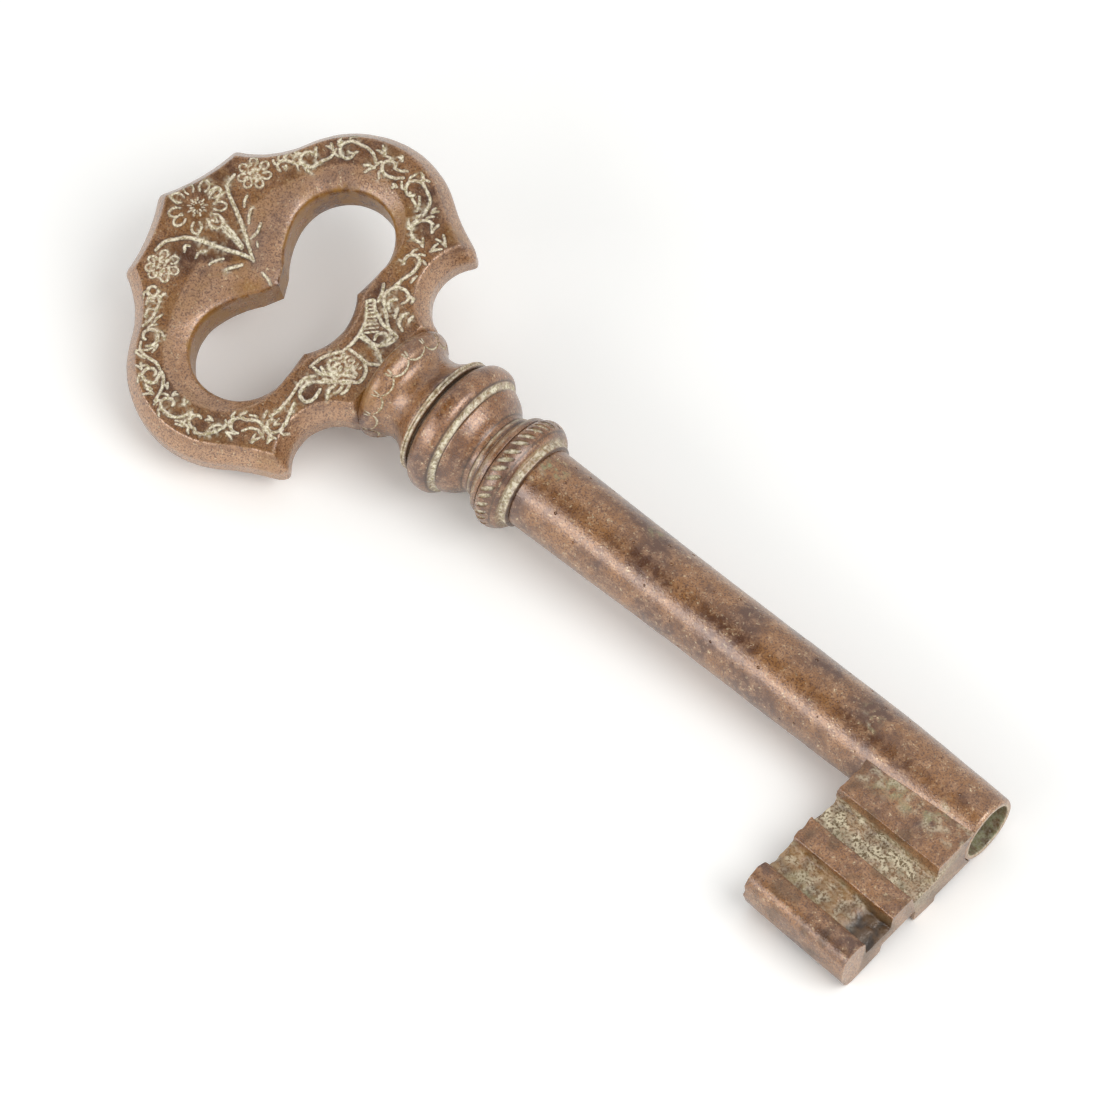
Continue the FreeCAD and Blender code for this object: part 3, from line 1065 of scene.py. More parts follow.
@dataclass(frozen=True)
class Engraving:
    """All the cuts on the bow's face: a daisy on a stem between two sprays, a border of scrolls on each
    lobe, and two horns of plenty that cross at the neck. It is ornament of a traditional kind."""

    spacing: float = 0.05

    def sprays(self) -> list[Stroke]:
        """Give the flowers, their stalks and the leaves beside them.

        Returns:
            The cuts.
        """
        daisy = Flower((-144.3, 1.5), (103, 66, 24, -10, -51, -141, 169, 143), 3.15, 1.9, 1.35, 18)
        right = Flower((-141.3, 10.2), (100, 45, -10, -62, -115, -170, 150), 1.75, 1.3, 1.1, 10, 0.32)
        left = Flower((-142.2, -8.2), (95, 35, -20, -75, -130, 170, 135), 1.75, 1.3, 1.1, 10, 0.32)
        stalks = [
            Stroke([
                (-144.6, -7.0), (-144.4, -5.3), (-143.5, -4.1), (-142.2, -2.8), (-140.0, -1.9),
                (-138.0, -1.3), (-136.3, -0.7), (-134.4, 0.0), (-132.8, 0.3),
            ], 0.62, 0.2),
            Stroke([
                (-143.4, 8.3), (-143.2, 6.7), (-142.3, 5.8), (-140.8, 5.0), (-138.8, 4.0), (-136.7, 2.8),
                (-135.0, 1.7), (-133.5, 0.7), (-132.6, 0.2),
            ], 0.58, 0.2),
            Stroke([(-139.8, 1.9), (-137.6, 1.6), (-135.3, 1.0)], 0.34, 0.15),
            Stroke([(-139.6, 1.2), (-137.4, 0.9), (-135.0, 0.5)], 0.34, 0.15),
            Stroke([(-139.7, 1.55), (-137.5, 1.25), (-135.1, 0.75)], 0.34, 0.12),
            Stroke([
                (-141.9, 1.1), (-141.0, 0.4), (-140.1, 0.6), (-139.6, 1.4), (-140.1, 2.2), (-141.2, 2.3),
                (-142.0, 1.9),
            ], 0.44, 0.16),
            Stroke([(-141.3, 1.2), (-140.5, 1.45), (-141.2, 1.8)], 0.3, 0.14),
            Stroke([(-143.9, 3.5), (-144.0, 4.6), (-143.6, 5.6)], 0.36, 0.14),
            Stroke([(-142.6, 3.4), (-142.9, 4.6), (-142.7, 5.5)], 0.36, 0.14),
            Stroke([(-130.7, -0.25), (-129.6, -0.45), (-128.6, -0.8)], 0.42, 0.16),
        ]
        leaves = [
            Stroke([(-141.2, -4.7), (-141.7, -4.0), (-141.2, -3.6)], 0.5, 0.12),
            Stroke([(-139.3, -4.5), (-139.5, -3.6), (-138.9, -2.8)], 0.4, 0.12),
            Stroke([(-137.2, -4.0), (-136.8, -2.9), (-136.1, -2.1)], 0.42, 0.12),
            Stroke([(-134.9, -3.2), (-134.3, -2.2), (-133.5, -1.2)], 0.5, 0.14),
            Stroke([(-139.0, 5.5), (-139.6, 6.2), (-139.9, 7.1)], 0.4, 0.12),
            Stroke([(-136.9, 4.0), (-137.7, 5.0), (-138.1, 6.0)], 0.46, 0.12),
            Stroke([(-135.2, 2.5), (-135.2, 3.8), (-135.7, 5.2)], 0.42, 0.12),
            Stroke([(-133.6, 2.1), (-134.3, 2.8)], 0.3, 0.1),
        ]
        return daisy.strokes() + right.strokes() + left.strokes() + stalks + leaves

    def right_border(self) -> list[Stroke]:
        """Give the scrolls round the lobe on the side away from the bit.

        Returns:
            The cuts.
        """
        scrolls = [
            Scroll((-138.7, 13.5), 1.0, 185, -175, ((-137.6, 14.9), (-137.0, 15.2)), 0.8),
            Scroll((-136.7, 16.8), 1.45, 0, 245, ((-135.0, 17.4), (-134.4, 18.6), (-134.6, 20.0))),
            Scroll((-132.7, 20.9), 1.65, 270, -275, ((-131.2, 22.8), (-129.9, 22.6), (-128.8, 21.9))),
            Scroll((-126.6, 22.6), 1.3, -60, 250, ((-125.2, 21.7), (-124.2, 22.5))),
            Scroll((-121.7, 21.9), 1.6, 230, -270, ((-119.2, 22.4), (-118.5, 21.2), (-118.3, 19.8))),
            Scroll((-116.6, 18.0), 1.8, 205, -215, (), 0.85),
            Scroll((-115.0, 13.6), 1.15, 120, -200, ((-113.8, 12.6), (-114.2, 11.0), (-114.5, 9.5)), 0.9),
        ]
        tufts = [
            Tuft((-138.2, 15.9), 100, 0.8),
            Tuft((-138.1, 13.3), 60, 0.7),
            Tuft((-134.8, 19.6), 75, 1.2),
            Tuft((-134.4, 20.6), 40, 0.9),
            Tuft((-128.4, 21.2), 130, 1.6),
            Tuft((-128.4, 23.5), 75, 1.6),
            Tuft((-126.0, 24.3), 60, 0.8),
            Tuft((-124.0, 20.9), 110, 0.8),
            Tuft((-121.6, 23.9), 60, 1.4, 1),
            Tuft((-117.6, 20.8), -20, 1.1),
            Tuft((-118.4, 17.2), 30, 1.4),
            Tuft((-115.2, 16.3), 60, 1.3),
            Tuft((-115.6, 18.6), 20, 1.6),
            Tuft((-113.9, 16.4), -20, 1.6),
            Tuft((-112.7, 18.3), 70, 1.8),
            Tuft((-115.6, 12.8), 90, 0.9, 1),
            Tuft((-113.0, 11.3), 0, 1.2, 1),
        ]
        inner = [
            Stroke([(-136.0, 17.2), (-136.6, 17.9), (-137.0, 18.4)], 0.5),
            Stroke([(-131.9, 21.6), (-132.4, 20.9), (-133.1, 20.7)], 0.4),
            Stroke([(-124.4, 23.6), (-125.4, 23.0), (-126.2, 22.8)], 0.42),
            Stroke([(-120.0, 20.3), (-121.2, 20.9), (-122.1, 21.4)], 0.42),
            Stroke([(-119.4, 19.8), (-119.9, 20.9), (-120.6, 21.7)], 0.42),
        ]
        return self.cuts_of(scrolls + tufts) + inner

    def left_border(self) -> list[Stroke]:
        """Give the scrolls round the lobe on the bit's side.

        Returns:
            The cuts.
        """
        scrolls = [
            Scroll((-140.8, -11.8), 0.8, 0, 320, (), 0.8),
            Scroll((-136.7, -17.4), 1.4, 180, -330, ()),
            Scroll(
                (-132.6, -21.3), 1.25, -80, 330,
                ((-131.8, -20.2), (-130.7, -20.9), (-129.9, -22.4), (-129.6, -24.0)),
            ),
            Scroll((-127.6, -23.1), 1.25, -60, 260, ((-126.4, -24.3), (-125.2, -23.6), (-124.4, -22.0))),
            Scroll(
                (-122.8, -22.4), 1.35, 0, 200,
                ((-122.0, -24.0), (-120.8, -23.4), (-119.8, -22.0), (-119.3, -20.5), (-119.3, -19.0)),
            ),
            Scroll(
                (-117.7, -19.6), 1.35, 210, -210,
                ((-116.4, -17.4), (-115.0, -17.6), (-113.4, -17.9)), 0.7,
            ),
            Scroll((-114.2, -16.2), 1.35, 40, 260, ((-113.0, -15.0), (-113.4, -14.0), (-114.0, -12.2))),
        ]
        tufts = [
            Tuft((-134.2, -21.6), 70, 1.0),
            Tuft((-130.4, -23.3), 110, 1.5),
            Tuft((-129.4, -21.5), 60, 0.9),
            Tuft((-128.2, -21.9), -20, 0.8),
            Tuft((-126.0, -22.0), 10, 0.9),
            Tuft((-123.8, -24.3), 110, 1.3, 1),
            Tuft((-121.2, -21.2), 100, 1.0),
            Tuft((-116.6, -17.0), 110, 1.2, 1),
            Tuft((-114.8, -20.3), 0, 1.4),
            Tuft((-113.0, -19.0), 10, 1.1),
            Tuft((-115.9, -16.4), 20, 1.0, 1),
            Tuft((-118.6, -21.4), -80, 1.3),
        ]
        inner = [
            Stroke([(-138.4, -16.6), (-138.2, -15.0), (-138.6, -13.4), (-139.4, -11.6)], 0.42),
            Stroke([(-139.0, -15.4), (-139.5, -14.4), (-138.9, -13.8)], 0.4),
            Stroke([(-140.2, -13.9), (-140.6, -13.0), (-139.9, -12.6)], 0.4),
            Stroke([(-137.5, -15.3), (-137.6, -14.6), (-137.4, -13.7)], 0.4),
            Stroke([
                (-137.0, -18.6), (-136.2, -19.6), (-134.6, -19.7), (-133.2, -19.6), (-131.9, -20.1),
            ], 0.44),
            Stroke([(-135.0, -17.8), (-135.5, -18.9), (-136.8, -20.1), (-135.0, -20.1)], 0.4),
            Stroke([(-125.4, -24.4), (-124.6, -24.0), (-123.4, -24.0)], 0.4),
            Stroke([(-120.8, -22.3), (-120.5, -21.5), (-119.8, -21.0)], 0.4),
            Stroke([(-117.0, -19.8), (-116.4, -18.8), (-115.2, -18.4), (-113.8, -18.8)], 0.44),
            Stroke([(-115.3, -15.8), (-115.0, -14.0), (-115.0, -12.0), (-115.4, -9.9)], 0.44),
            Stroke([(-114.2, -15.3), (-114.0, -16.4), (-113.6, -15.8)], 0.34),
        ]
        return self.cuts_of(scrolls + tufts) + inner

    def horns(self) -> list[Stroke]:
        """Give the two horns of plenty, the bands that cross them and the scrolls beside them.

        Returns:
            The cuts.
        """
        rungs = Ladder((-115.7, 5.6), (-112.5, 2.3), 0.9, 2.1, 9).strokes()
        beads = Ladder((-113.4, -2.7), (-110.2, -2.7), 0.6, 0.5, 6).strokes()
        lines = [
            [(-113.6, -1.5), (-111.5, -1.5), (-110.0, -1.6), (-108.9, -1.0), (-108.1, -0.5)],
            [(-113.6, 0.8), (-111.5, 0.9), (-110.1, 0.7), (-109.0, 0.1), (-108.1, -0.5)],
            [(-113.8, -2.4), (-113.5, -0.6), (-113.6, 1.0), (-114.1, 2.8), (-114.7, 3.7), (-116.1, 5.4)],
            [
                (-116.1, 5.4), (-115.4, 6.1), (-114.5, 5.3), (-113.2, 4.6), (-112.0, 4.2), (-110.5, 4.1),
                (-109.2, 4.0),
            ],
            [(-113.3, 1.3), (-111.5, 1.1), (-110.2, 1.5), (-109.3, 2.7), (-109.2, 3.9)],
            [(-111.4, 1.7), (-111.6, 2.6), (-110.8, 3.3), (-110.1, 3.0)],
            [(-110.3, 1.9), (-109.9, 2.6), (-109.8, 3.5)],
            [(-113.9, -2.4), (-115.2, -4.3), (-115.6, -5.6), (-115.8, -6.8)],
            [(-113.2, -3.2), (-114.2, -4.4), (-113.4, -5.5), (-111.8, -5.3), (-111.3, -4.2), (-112.2, -3.4)],
            [(-112.9, -4.0), (-113.3, -4.7), (-112.6, -4.9), (-112.4, -4.2)],
            [(-115.5, -6.6), (-114.0, -6.7), (-112.8, -6.0), (-111.9, -6.2)],
            [(-114.6, -5.9), (-113.6, -6.2), (-112.4, -5.6)],
            [(-111.7, -3.7), (-110.6, -3.6), (-109.9, -3.8)],
            [(-111.4, -4.8), (-110.4, -4.4), (-109.8, -4.2)],
            [(-110.2, -1.8), (-109.2, -2.6), (-108.9, -4.2), (-109.7, -5.0), (-110.8, -6.1)],
            [(-113.7, -8.0), (-112.2, -6.9), (-110.7, -5.6), (-109.5, -4.7)],
            [(-113.2, -7.2), (-112.2, -6.5)],
            [
                (-112.5, -8.4), (-112.3, -10.2), (-113.1, -11.2), (-114.4, -10.6), (-114.5, -9.0),
                (-113.6, -7.9),
            ],
            [(-115.4, -9.7), (-115.2, -8.4), (-114.4, -7.4)],
            [(-110.8, -9.0), (-111.4, -8.0), (-111.3, -6.7)],
            [(-110.5, -7.7), (-110.2, -6.9), (-110.4, -6.2)],
            [(-109.7, -7.2), (-109.5, -6.3), (-109.7, -5.4)],
            [
                (-110.2, 3.9), (-111.5, 4.6), (-113.0, 5.9), (-114.3, 7.0), (-114.7, 8.3), (-114.1, 9.5),
                (-113.0, 9.9), (-112.1, 9.7), (-111.6, 8.9), (-111.9, 8.1),
            ],
            [(-114.8, 6.3), (-115.2, 7.6), (-115.9, 8.8)],
            [(-112.8, 6.3), (-113.5, 7.3), (-112.9, 8.2)],
            [(-111.3, 5.9), (-111.9, 7.2)],
            [(-109.2, 5.1), (-110.3, 5.6), (-110.6, 6.8), (-110.3, 7.6)],
            [(-109.4, 6.7), (-109.5, 7.6)],
            [(-112.2, 9.4), (-111.2, 9.6), (-110.9, 9.0)],
        ]
        return rungs + beads + [Stroke(line) for line in lines]

    def cuts_of(self, ornaments: list) -> list[Stroke]:
        """Give the cuts of several ornaments."""
        return [stroke for ornament in ornaments for stroke in ornament.strokes()]

    def samples(self) -> tuple[Rows, Rows, Rows]:
        """Sample every cut closely.

        Returns:
            The samples' places, and at each the cut's width and depth.
        """
        places, widths, depths = [], [], []
        for stroke in self.sprays() + self.right_border() + self.left_border() + self.horns():
            curve = along_curve(stroke.points, self.spacing)
            share = np.linspace(0, 1, len(curve))
            taper = 0.72 + 0.28 * np.sin(np.pi * share) ** 0.5
            places.append(curve)
            widths.append(stroke.width * taper)
            depths.append(stroke.depth * taper)
        return np.vstack(places), np.concatenate(widths), np.concatenate(depths)


# The bow


@dataclass(frozen=True)
class BowOutline:
    """The bow's flat lines, as in the solid: reach is counted from the lobes' middle towards the tip."""

    lobes_middle_x: float = -125.8
    bow_width: float = 54.6
    crown_height: float = 25.1
    crown_dip: float = 0.8
    side_peak: Point = (21.0, 11.7)
    notch_bottom: Point = (16.9, 14.3)
    notch_end: Point = (13.8, 18.4)
    shoulder_top_reach: float = 0.5
    shoulder_end: Point = (7.6, 25.3)
    spur_sag: Point = (12.5, 22.4)
    spur: Point = (17.8, 20.4)
    spur_trim_reach: float = -5.2
    spur_trim_radius: float = 29.7
    cove_radius: float = 5.5
    cove_reach: float = 20.2
    cove_half_span: float = 14.1
    plate_end_reach: float = 19.9
    opening_width: float = 35.9
    lobe_radius: float = 7.5
    band_from_opening: float = 2.95
    band_lobe_radius: float = 9.2
    lobe_side_angle: float = -8.0
    outline_steps: int = 500
    corner_wear: int = 5

    def spot(self, reach: float, span: float) -> Rows:
        """Give a point of the right half in the key's own frame."""
        return np.array([self.lobes_middle_x + reach, span])

    def arc(self, start: Rows, middle: Rows, end: Rows, count: int) -> Rows:
        """Run a round edge through three points, in a number of steps.

        Args:
            start: where it starts.
            middle: a point it passes.
            end: where it ends.
            count: its steps.

        Returns:
            The points, with both ends.
        """
        double = 2 * np.array([middle - start, end - start])
        equals = np.array([middle @ middle - start @ start, end @ end - start @ start])
        centre = np.linalg.solve(double, equals)
        turns = [math.atan2(*(p - centre)[::-1]) for p in (start, middle, end)]
        sweep = (turns[2] - turns[0]) % math.tau
        if (turns[1] - turns[0]) % math.tau > sweep:
            sweep -= math.tau
        angles = turns[0] + sweep * np.linspace(0, 1, count + 1)
        return centre + np.linalg.norm(start - centre) * np.column_stack([np.cos(angles), np.sin(angles)])

    def run(self, start: Rows, end: Rows, count: int) -> Rows:
        """Run a straight edge in a number of steps."""
        return start + (end - start) * np.linspace(0, 1, count + 1)[:, None]

    def both_sides(self, edges: list[Rows]) -> Rows:
        """Close the right half's edges with their mirror image, as one loop with no double points.

        Args:
            edges: the right half's edges, from the axis round to the axis.

        Returns:
            The loop.
        """
        right = np.vstack([edge[:-1] for edge in edges] + [edges[-1][-1:]])
        left = (right * (1, -1))[::-1]
        return np.vstack([right, left[1:-1]])

    def outer(self) -> Rows:
        """Give the outline, with its spurs blunted.

        Returns:
            The loop.
        """
        s = self.spot
        crown = s(-self.crown_height, 0)
        dip = s(-(self.crown_height + self.side_peak[0]) / 2 + self.crown_dip, self.side_peak[1] / 2)
        peak = s(-self.side_peak[0], self.side_peak[1])
        notch_end = s(-self.notch_end[0], self.notch_end[1])
        shoulder_end = s(*self.shoulder_end)
        spur = s(*self.spur)
        rise = math.sqrt(self.cove_radius**2 - (self.cove_reach - self.plate_end_reach) ** 2)
        corner = s(self.plate_end_reach, self.cove_half_span - rise)
        loop = self.both_sides(
            [
                self.arc(crown, dip, peak, 36),
                self.arc(peak, s(-self.notch_bottom[0], self.notch_bottom[1]), notch_end, 24),
                self.arc(notch_end, s(self.shoulder_top_reach, self.bow_width / 2), shoulder_end, 70),
                self.arc(shoulder_end, s(*self.spur_sag), spur, 32),
                self.arc(spur, s(self.cove_reach - self.cove_radius, self.cove_half_span), corner, 40),
                self.run(corner, s(self.plate_end_reach, 0), 20),
            ]
        )
        return self.rounded(self.blunted(loop, s(self.spur_trim_reach, 0)))

    def rounded(self, loop: Rows) -> Rows:
        """Wear the outline's corners round, as the old casting's are.

        Args:
            loop: the sharp outline.

        Returns:
            The outline in even steps.
        """
        closed = np.vstack([loop, loop[:1]])
        along = np.concatenate([[0], np.cumsum(np.linalg.norm(np.diff(closed, axis=0), axis=1))])
        even = np.linspace(0, along[-1], self.outline_steps, endpoint=False)
        smooth = np.column_stack([np.interp(even, along, closed[:, axis]) for axis in (0, 1)])
        for _ in range(self.corner_wear):
            smooth = (np.roll(smooth, 1, axis=0) + 2 * smooth + np.roll(smooth, -1, axis=0)) / 4
        return smooth

    def blunted(self, loop: Rows, centre: Rows) -> Rows:
        """Trim the outline's two spurs to a circle about a centre.

        Args:
            loop: the outline.
            centre: the trimming circle's centre.

        Returns:
            The trimmed outline.
        """
        away = loop - centre
        beyond = (np.linalg.norm(away, axis=1) > self.spur_trim_radius) & (loop[:, 0] > self.lobes_middle_x)
        for side in (1, -1):
            spur = np.nonzero(beyond & (loop[:, 1] * side > 0))[0]
            first, last = (math.atan2(*away[place][::-1]) for place in (spur[0], spur[-1]))
            angles = np.linspace(first, last, len(spur))
            loop[spur] = centre + self.spur_trim_radius * np.column_stack([np.cos(angles), np.sin(angles)])
        return loop

    def two_lobes(
        self, tip: Rows, corner: Rows, flank: Rows, sag: float, lobe: tuple, cusp: Rows, cove: Rows
    ) -> Rows:
        """Give a loop of two round lobes with a notch on the crown's side and a cove opposite.

        Args:
            tip: the notch's tip on the axis.
            corner: where the notch's tip ends.
            flank: where the notch's straight side ends.
            sag: how far the flank's curve bends.
            lobe: the lobe's middle, radius and the angle where its round starts.
            cusp: the corner between lobe and cove.
            cove: the cove's middle on the axis.

        Returns:
            The loop.
        """
        middle, radius, angle = lobe

        def on_lobe(degrees: float) -> Rows:
            """Give a point of the lobe's round."""
            turn = math.radians(degrees)
            return middle + radius * np.array([math.cos(turn), math.sin(turn)])

        start = on_lobe(180 - angle)
        side = on_lobe(self.lobe_side_angle)
        cove_middle = np.array([cusp[0] + (cove[0] - cusp[0]) * 3 / 4, cusp[1] / 2])
        return self.both_sides(
            [
                self.run(tip, corner, 3),
                self.run(corner, flank, 7),
                self.arc(flank, (flank + start) / 2 - (sag, 0), start, 22),
                self.arc(start, on_lobe(90), side, 66),
                self.run(side, cusp, 16),
                self.arc(cusp, cove_middle, cove, 18),
            ]
        )

    def opening(self) -> Rows:
        """Give the edge of the opening.

        Returns:
            The loop.
        """
        s = self.spot
        lobe = (s(0.4, self.opening_width / 2 - self.lobe_radius), self.lobe_radius, -11.0)
        return self.two_lobes(s(-2.3, 0), s(-2.75, 0.9), s(-3.7, 2.7), 0.5, lobe, s(7.5, 5.6), s(9.6, 0))

    def band(self) -> Rows:
        """Give the inner edge of the flat band, corner for corner like the opening's.

        Returns:
            The loop.
        """
        s = self.spot
        half_width = self.opening_width / 2 + self.band_from_opening
        lobe = (s(-0.7, half_width - self.band_lobe_radius), self.band_lobe_radius, 20.0)
        return self.two_lobes(s(-7.0, 0), s(-7.4, 0.4), s(-12.5, 5.0), 0.5, lobe, s(8.9, 5.9), s(10.9, 0))


@dataclass
class Bow:
    """The kidney bow and its bell neck, cast in one, with the engraving cut into its face."""

    lines: BowOutline = field(default_factory=BowOutline)
    engraving: Engraving = field(default_factory=Engraving)
    thickness: float = 8.0
    wall_height: float = 3.0
    bevel_inset: float = 1.7
    inner_wall_height: float = 5.6
    fine: float = 0.135
    medium: float = 0.24
    coarse: float = 0.6
    neck_foot_x: float = -98.3
    tenon_radius: float = 3.0
    neck_side_end_x: float = -98.4
    scallop_count: int = 15
    scallop_x: float = -105.25
    scallop_reach: float = 1.7
    scallop_half_width: float = 2.1
    scallop_radius: float = 0.2
    hazy_spots: tuple[Spot, ...] = (
        (-142.2, -8.2, 2.6),
        (-141.4, 10.2, 2.2),
        (-112.2, -4.4, 3.0),
        (-115.0, -9.0, 1.6),
    )
    ochre_spots: tuple[tuple[float, float, float, float], ...] = (
        (-130.5, -3.2, 3.4, 0.7),
        (-133.8, -1.4, 2.4, 0.6),
        (-121.0, 17.0, 4.5, 0.7),
        (-117.6, 13.2, 2.8, 0.6),
        (-133.6, 12.5, 2.0, 0.5),
        (-143.5, -0.5, 4.2, 0.45),
        (-106.4, -5.6, 2.8, 0.7),
        (-106.2, 0.4, 1.8, 0.5),
        (-113.3, 20.2, 2.6, 0.5),
        (-111.5, -21.0, 2.6, 0.4),
    )

    def __post_init__(self) -> None:
        """Sample the lines that the face is worked out from."""
        self.outer = self.lines.outer()
        self.opening = self.lines.opening()
        self.band = self.lines.band()
        self.outer_tree = tree_of(self.closely(self.outer))
        self.opening_tree = tree_of(self.closely(self.opening))
        self.band_tree = tree_of(self.closely(self.band))
        self.cut_places, self.cut_widths, self.cut_depths = self.engraving.samples()
        self.cut_tree = tree_of(self.cut_places)

    def closely(self, loop: Rows) -> Rows:
        """Sample a closed loop every twentieth of a millimetre.

        Args:
            loop: the loop's corners.

        Returns:
            Rows of the samples' x and y.
        """
        samples = []
        for start, end in zip(loop, np.roll(loop, -1, axis=0)):
            count = max(1, int(np.linalg.norm(end - start) / 0.05))
            samples.append(start + (end - start) * np.linspace(0, 1, count, endpoint=False)[:, None])
        return np.vstack(samples)

    def bevel_drop(self, spots: Rows) -> Rows:
        """Give how far the inner bevel lies under the band, by ruling it from edge to edge.

        Args:
            spots: rows of x and y.

        Returns:
            One drop for each spot, below nothing on the band.
        """
        depth = (self.thickness - self.inner_wall_height) / 2
        _, from_band = nearest(self.band_tree, spots)
        drop = -0.35 * from_band
        after_opening = np.roll(self.opening, -1, axis=0)
        after_band = np.roll(self.band, -1, axis=0)
        for one, two, three, four in zip(self.opening, after_opening, after_band, self.band):
            self.fill_triangle(spots, drop, np.array([one, two, three]), np.array([depth, depth, 0]))
            self.fill_triangle(spots, drop, np.array([one, three, four]), np.array([depth, 0, 0]))
        return drop

    def fill_triangle(self, spots: Rows, drop: Rows, corners: Rows, drops: Rows) -> None:
        """Write the drop of the spots that lie in one triangle of the ruled bevel.

        Args:
            spots: rows of x and y.
            drop: the drops, which are written to.
            corners: the triangle.
            drops: the drop at each corner.
        """
        low, high = corners.min(0) - 1e-6, corners.max(0) + 1e-6
        near = np.nonzero(np.all((spots >= low) & (spots <= high), axis=1))[0]
        if not len(near):
            return
        edges = np.array([corners[1] - corners[0], corners[2] - corners[0]]).T
        if abs(np.linalg.det(edges)) < 1e-9:
            return
        shares = np.linalg.solve(edges, (spots[near] - corners[0]).T).T
        weights = np.column_stack([1 - shares.sum(1), shares])
        within = np.all(weights >= -1e-6, axis=1)
        drop[near[within]] = weights[within] @ drops

    def heights(self, spots: Rows, engraved: bool) -> Rows:
        """Give the face's height over the middle plane.

        Args:
            spots: rows of x and y.
            engraved: whether the cuts are in it.

        Returns:
            One height for each spot.
        """
        _, from_edge = nearest(self.outer_tree, spots)
        _, from_opening = nearest(self.opening_tree, spots)
        rise = (self.thickness - self.wall_height) / 2
        outer = soft_drop((self.bevel_inset - from_edge) * rise / self.bevel_inset, 0.08)
        inner = soft_drop(self.bevel_drop(spots), 0.07)
        worn = 0.3 * np.clip(1 - from_edge / 0.45, 0, 1) ** 2
        worn += 0.25 * np.clip(1 - from_opening / 0.4, 0, 1) ** 2
        height = self.thickness / 2 - outer - inner - worn
        if engraved:
            share, depth = self.cut_shares(spots)
            height -= depth * (1 - np.clip(share, 0, 1) ** 2)
        return height

    def cut_shares(self, spots: Rows) -> tuple[Rows, Rows]:
        """Tell how far spots are from the nearest cut, in half widths of it, and how deep it is.

        The hand-cut edges waver a little.

        Args:
            spots: rows of x and y.

        Returns:
            The distances and the depths.
        """
        number, off = nearest(self.cut_tree, spots)
        flat = np.column_stack([spots, np.zeros(len(spots))])
        waver = 1 + 0.4 * cast_noise(flat, 0.45, 61.0)
        return off * waver / (self.cut_widths[number] / 2), self.cut_depths[number]

    def grid(self, spacing: float) -> Rows:
        """Give a six-cornered grid of spots over the whole bow.

        Args:
            spacing: the distance between neighbours.

        Returns:
            Rows of x and y.
        """
        low, high = self.outer.min(0), self.outer.max(0)
        rows = np.arange(low[0], high[0], spacing * math.sqrt(0.75))
        columns = np.arange(low[1], high[1], spacing)
        x, y = np.meshgrid(rows, columns, indexing="ij")
        y = y + (np.arange(len(rows)) % 2)[:, None] * spacing / 2
        return np.column_stack([x.ravel(), y.ravel()])

    def on_face(self, spots: Rows, margin: float) -> Rows:
        """Keep the spots on the face that are clear of its edges.

        Args:
            spots: rows of x and y.
            margin: how far from an edge they keep.

        Returns:
            The spots that are kept.
        """
        spots = spots[inside(spots, self.outer)]
        spots = spots[~inside(spots, self.opening)]
        _, from_edge = nearest(self.outer_tree, spots)
        _, from_opening = nearest(self.opening_tree, spots)
        return spots[(from_edge > margin) & (from_opening > margin)]

    def spots_on_face(self, engraved: bool) -> Rows:
        """Choose the mesh's points: close by the cuts, less so by the crests, and wide elsewhere.

        Args:
            engraved: whether the cuts are in the face.

        Returns:
            Rows of x and y.
        """
        coarse = self.on_face(self.grid(self.coarse), 0.25)
        medium = self.on_face(self.grid(self.medium), 0.12)
        _, from_edge = nearest(self.outer_tree, medium)
        _, from_opening = nearest(self.opening_tree, medium)
        _, from_band = nearest(self.band_tree, medium)
        by_crest = (np.abs(from_edge - self.bevel_inset) < 0.5) | (from_band < 0.42) | (from_opening < 0.5)
        medium = medium[by_crest | (from_edge < 0.45)]
        if engraved:
            fine = self.grid(self.fine)
            number, off = nearest(self.cut_tree, fine)
            fine = self.on_face(fine[off < self.cut_widths[number] / 2 + 0.26], 0.1)
            medium = self.thinned(medium, fine, self.fine)
            coarse = self.thinned(coarse, fine, self.medium)
            coarse = self.thinned(coarse, medium, self.medium)
            return np.vstack([coarse, medium, fine])
        return np.vstack([self.thinned(coarse, medium, self.medium), medium])

    def thinned(self, spots: Rows, others: Rows, gap: float) -> Rows:
        """Drop the spots that are nearer than gap to other ones."""
        _, off = nearest(tree_of(others), spots)
        return spots[off > gap]

    def face(self, engraved: bool) -> tuple[Rows, list]:
        """Make one face as triangles.

        Args:
            engraved: whether the cuts are in it.

        Returns:
            Its points, first the outline's and then the opening's, and its triangles.
        """
        loops = len(self.outer), len(self.opening)
        spots = np.vstack([self.outer, self.opening, self.spots_on_face(engraved)])
        edges = [(k, (k + 1) % loops[0]) for k in range(loops[0])]
        edges += [(loops[0] + k, loops[0] + (k + 1) % loops[1]) for k in range(loops[1])]
        flat, _, triangles, origins, _, _ = delaunay_2d_cdt([Vector(s) for s in spots], edges, [], 0, 1e-6)
        flat = np.array([tuple(v) for v in flat])
        number = np.array([given[0] if given else -1 for given in origins])
        middles = np.array([flat[list(t)].mean(0) for t in triangles])
        keep = inside(middles, self.outer) & ~inside(middles, self.opening)
        faces = [tuple(int(number[v]) for v in t) for t, kept in zip(triangles, keep) if kept]
        return np.column_stack([spots, self.heights(spots, engraved)]), [f for f in faces if min(f) >= 0]

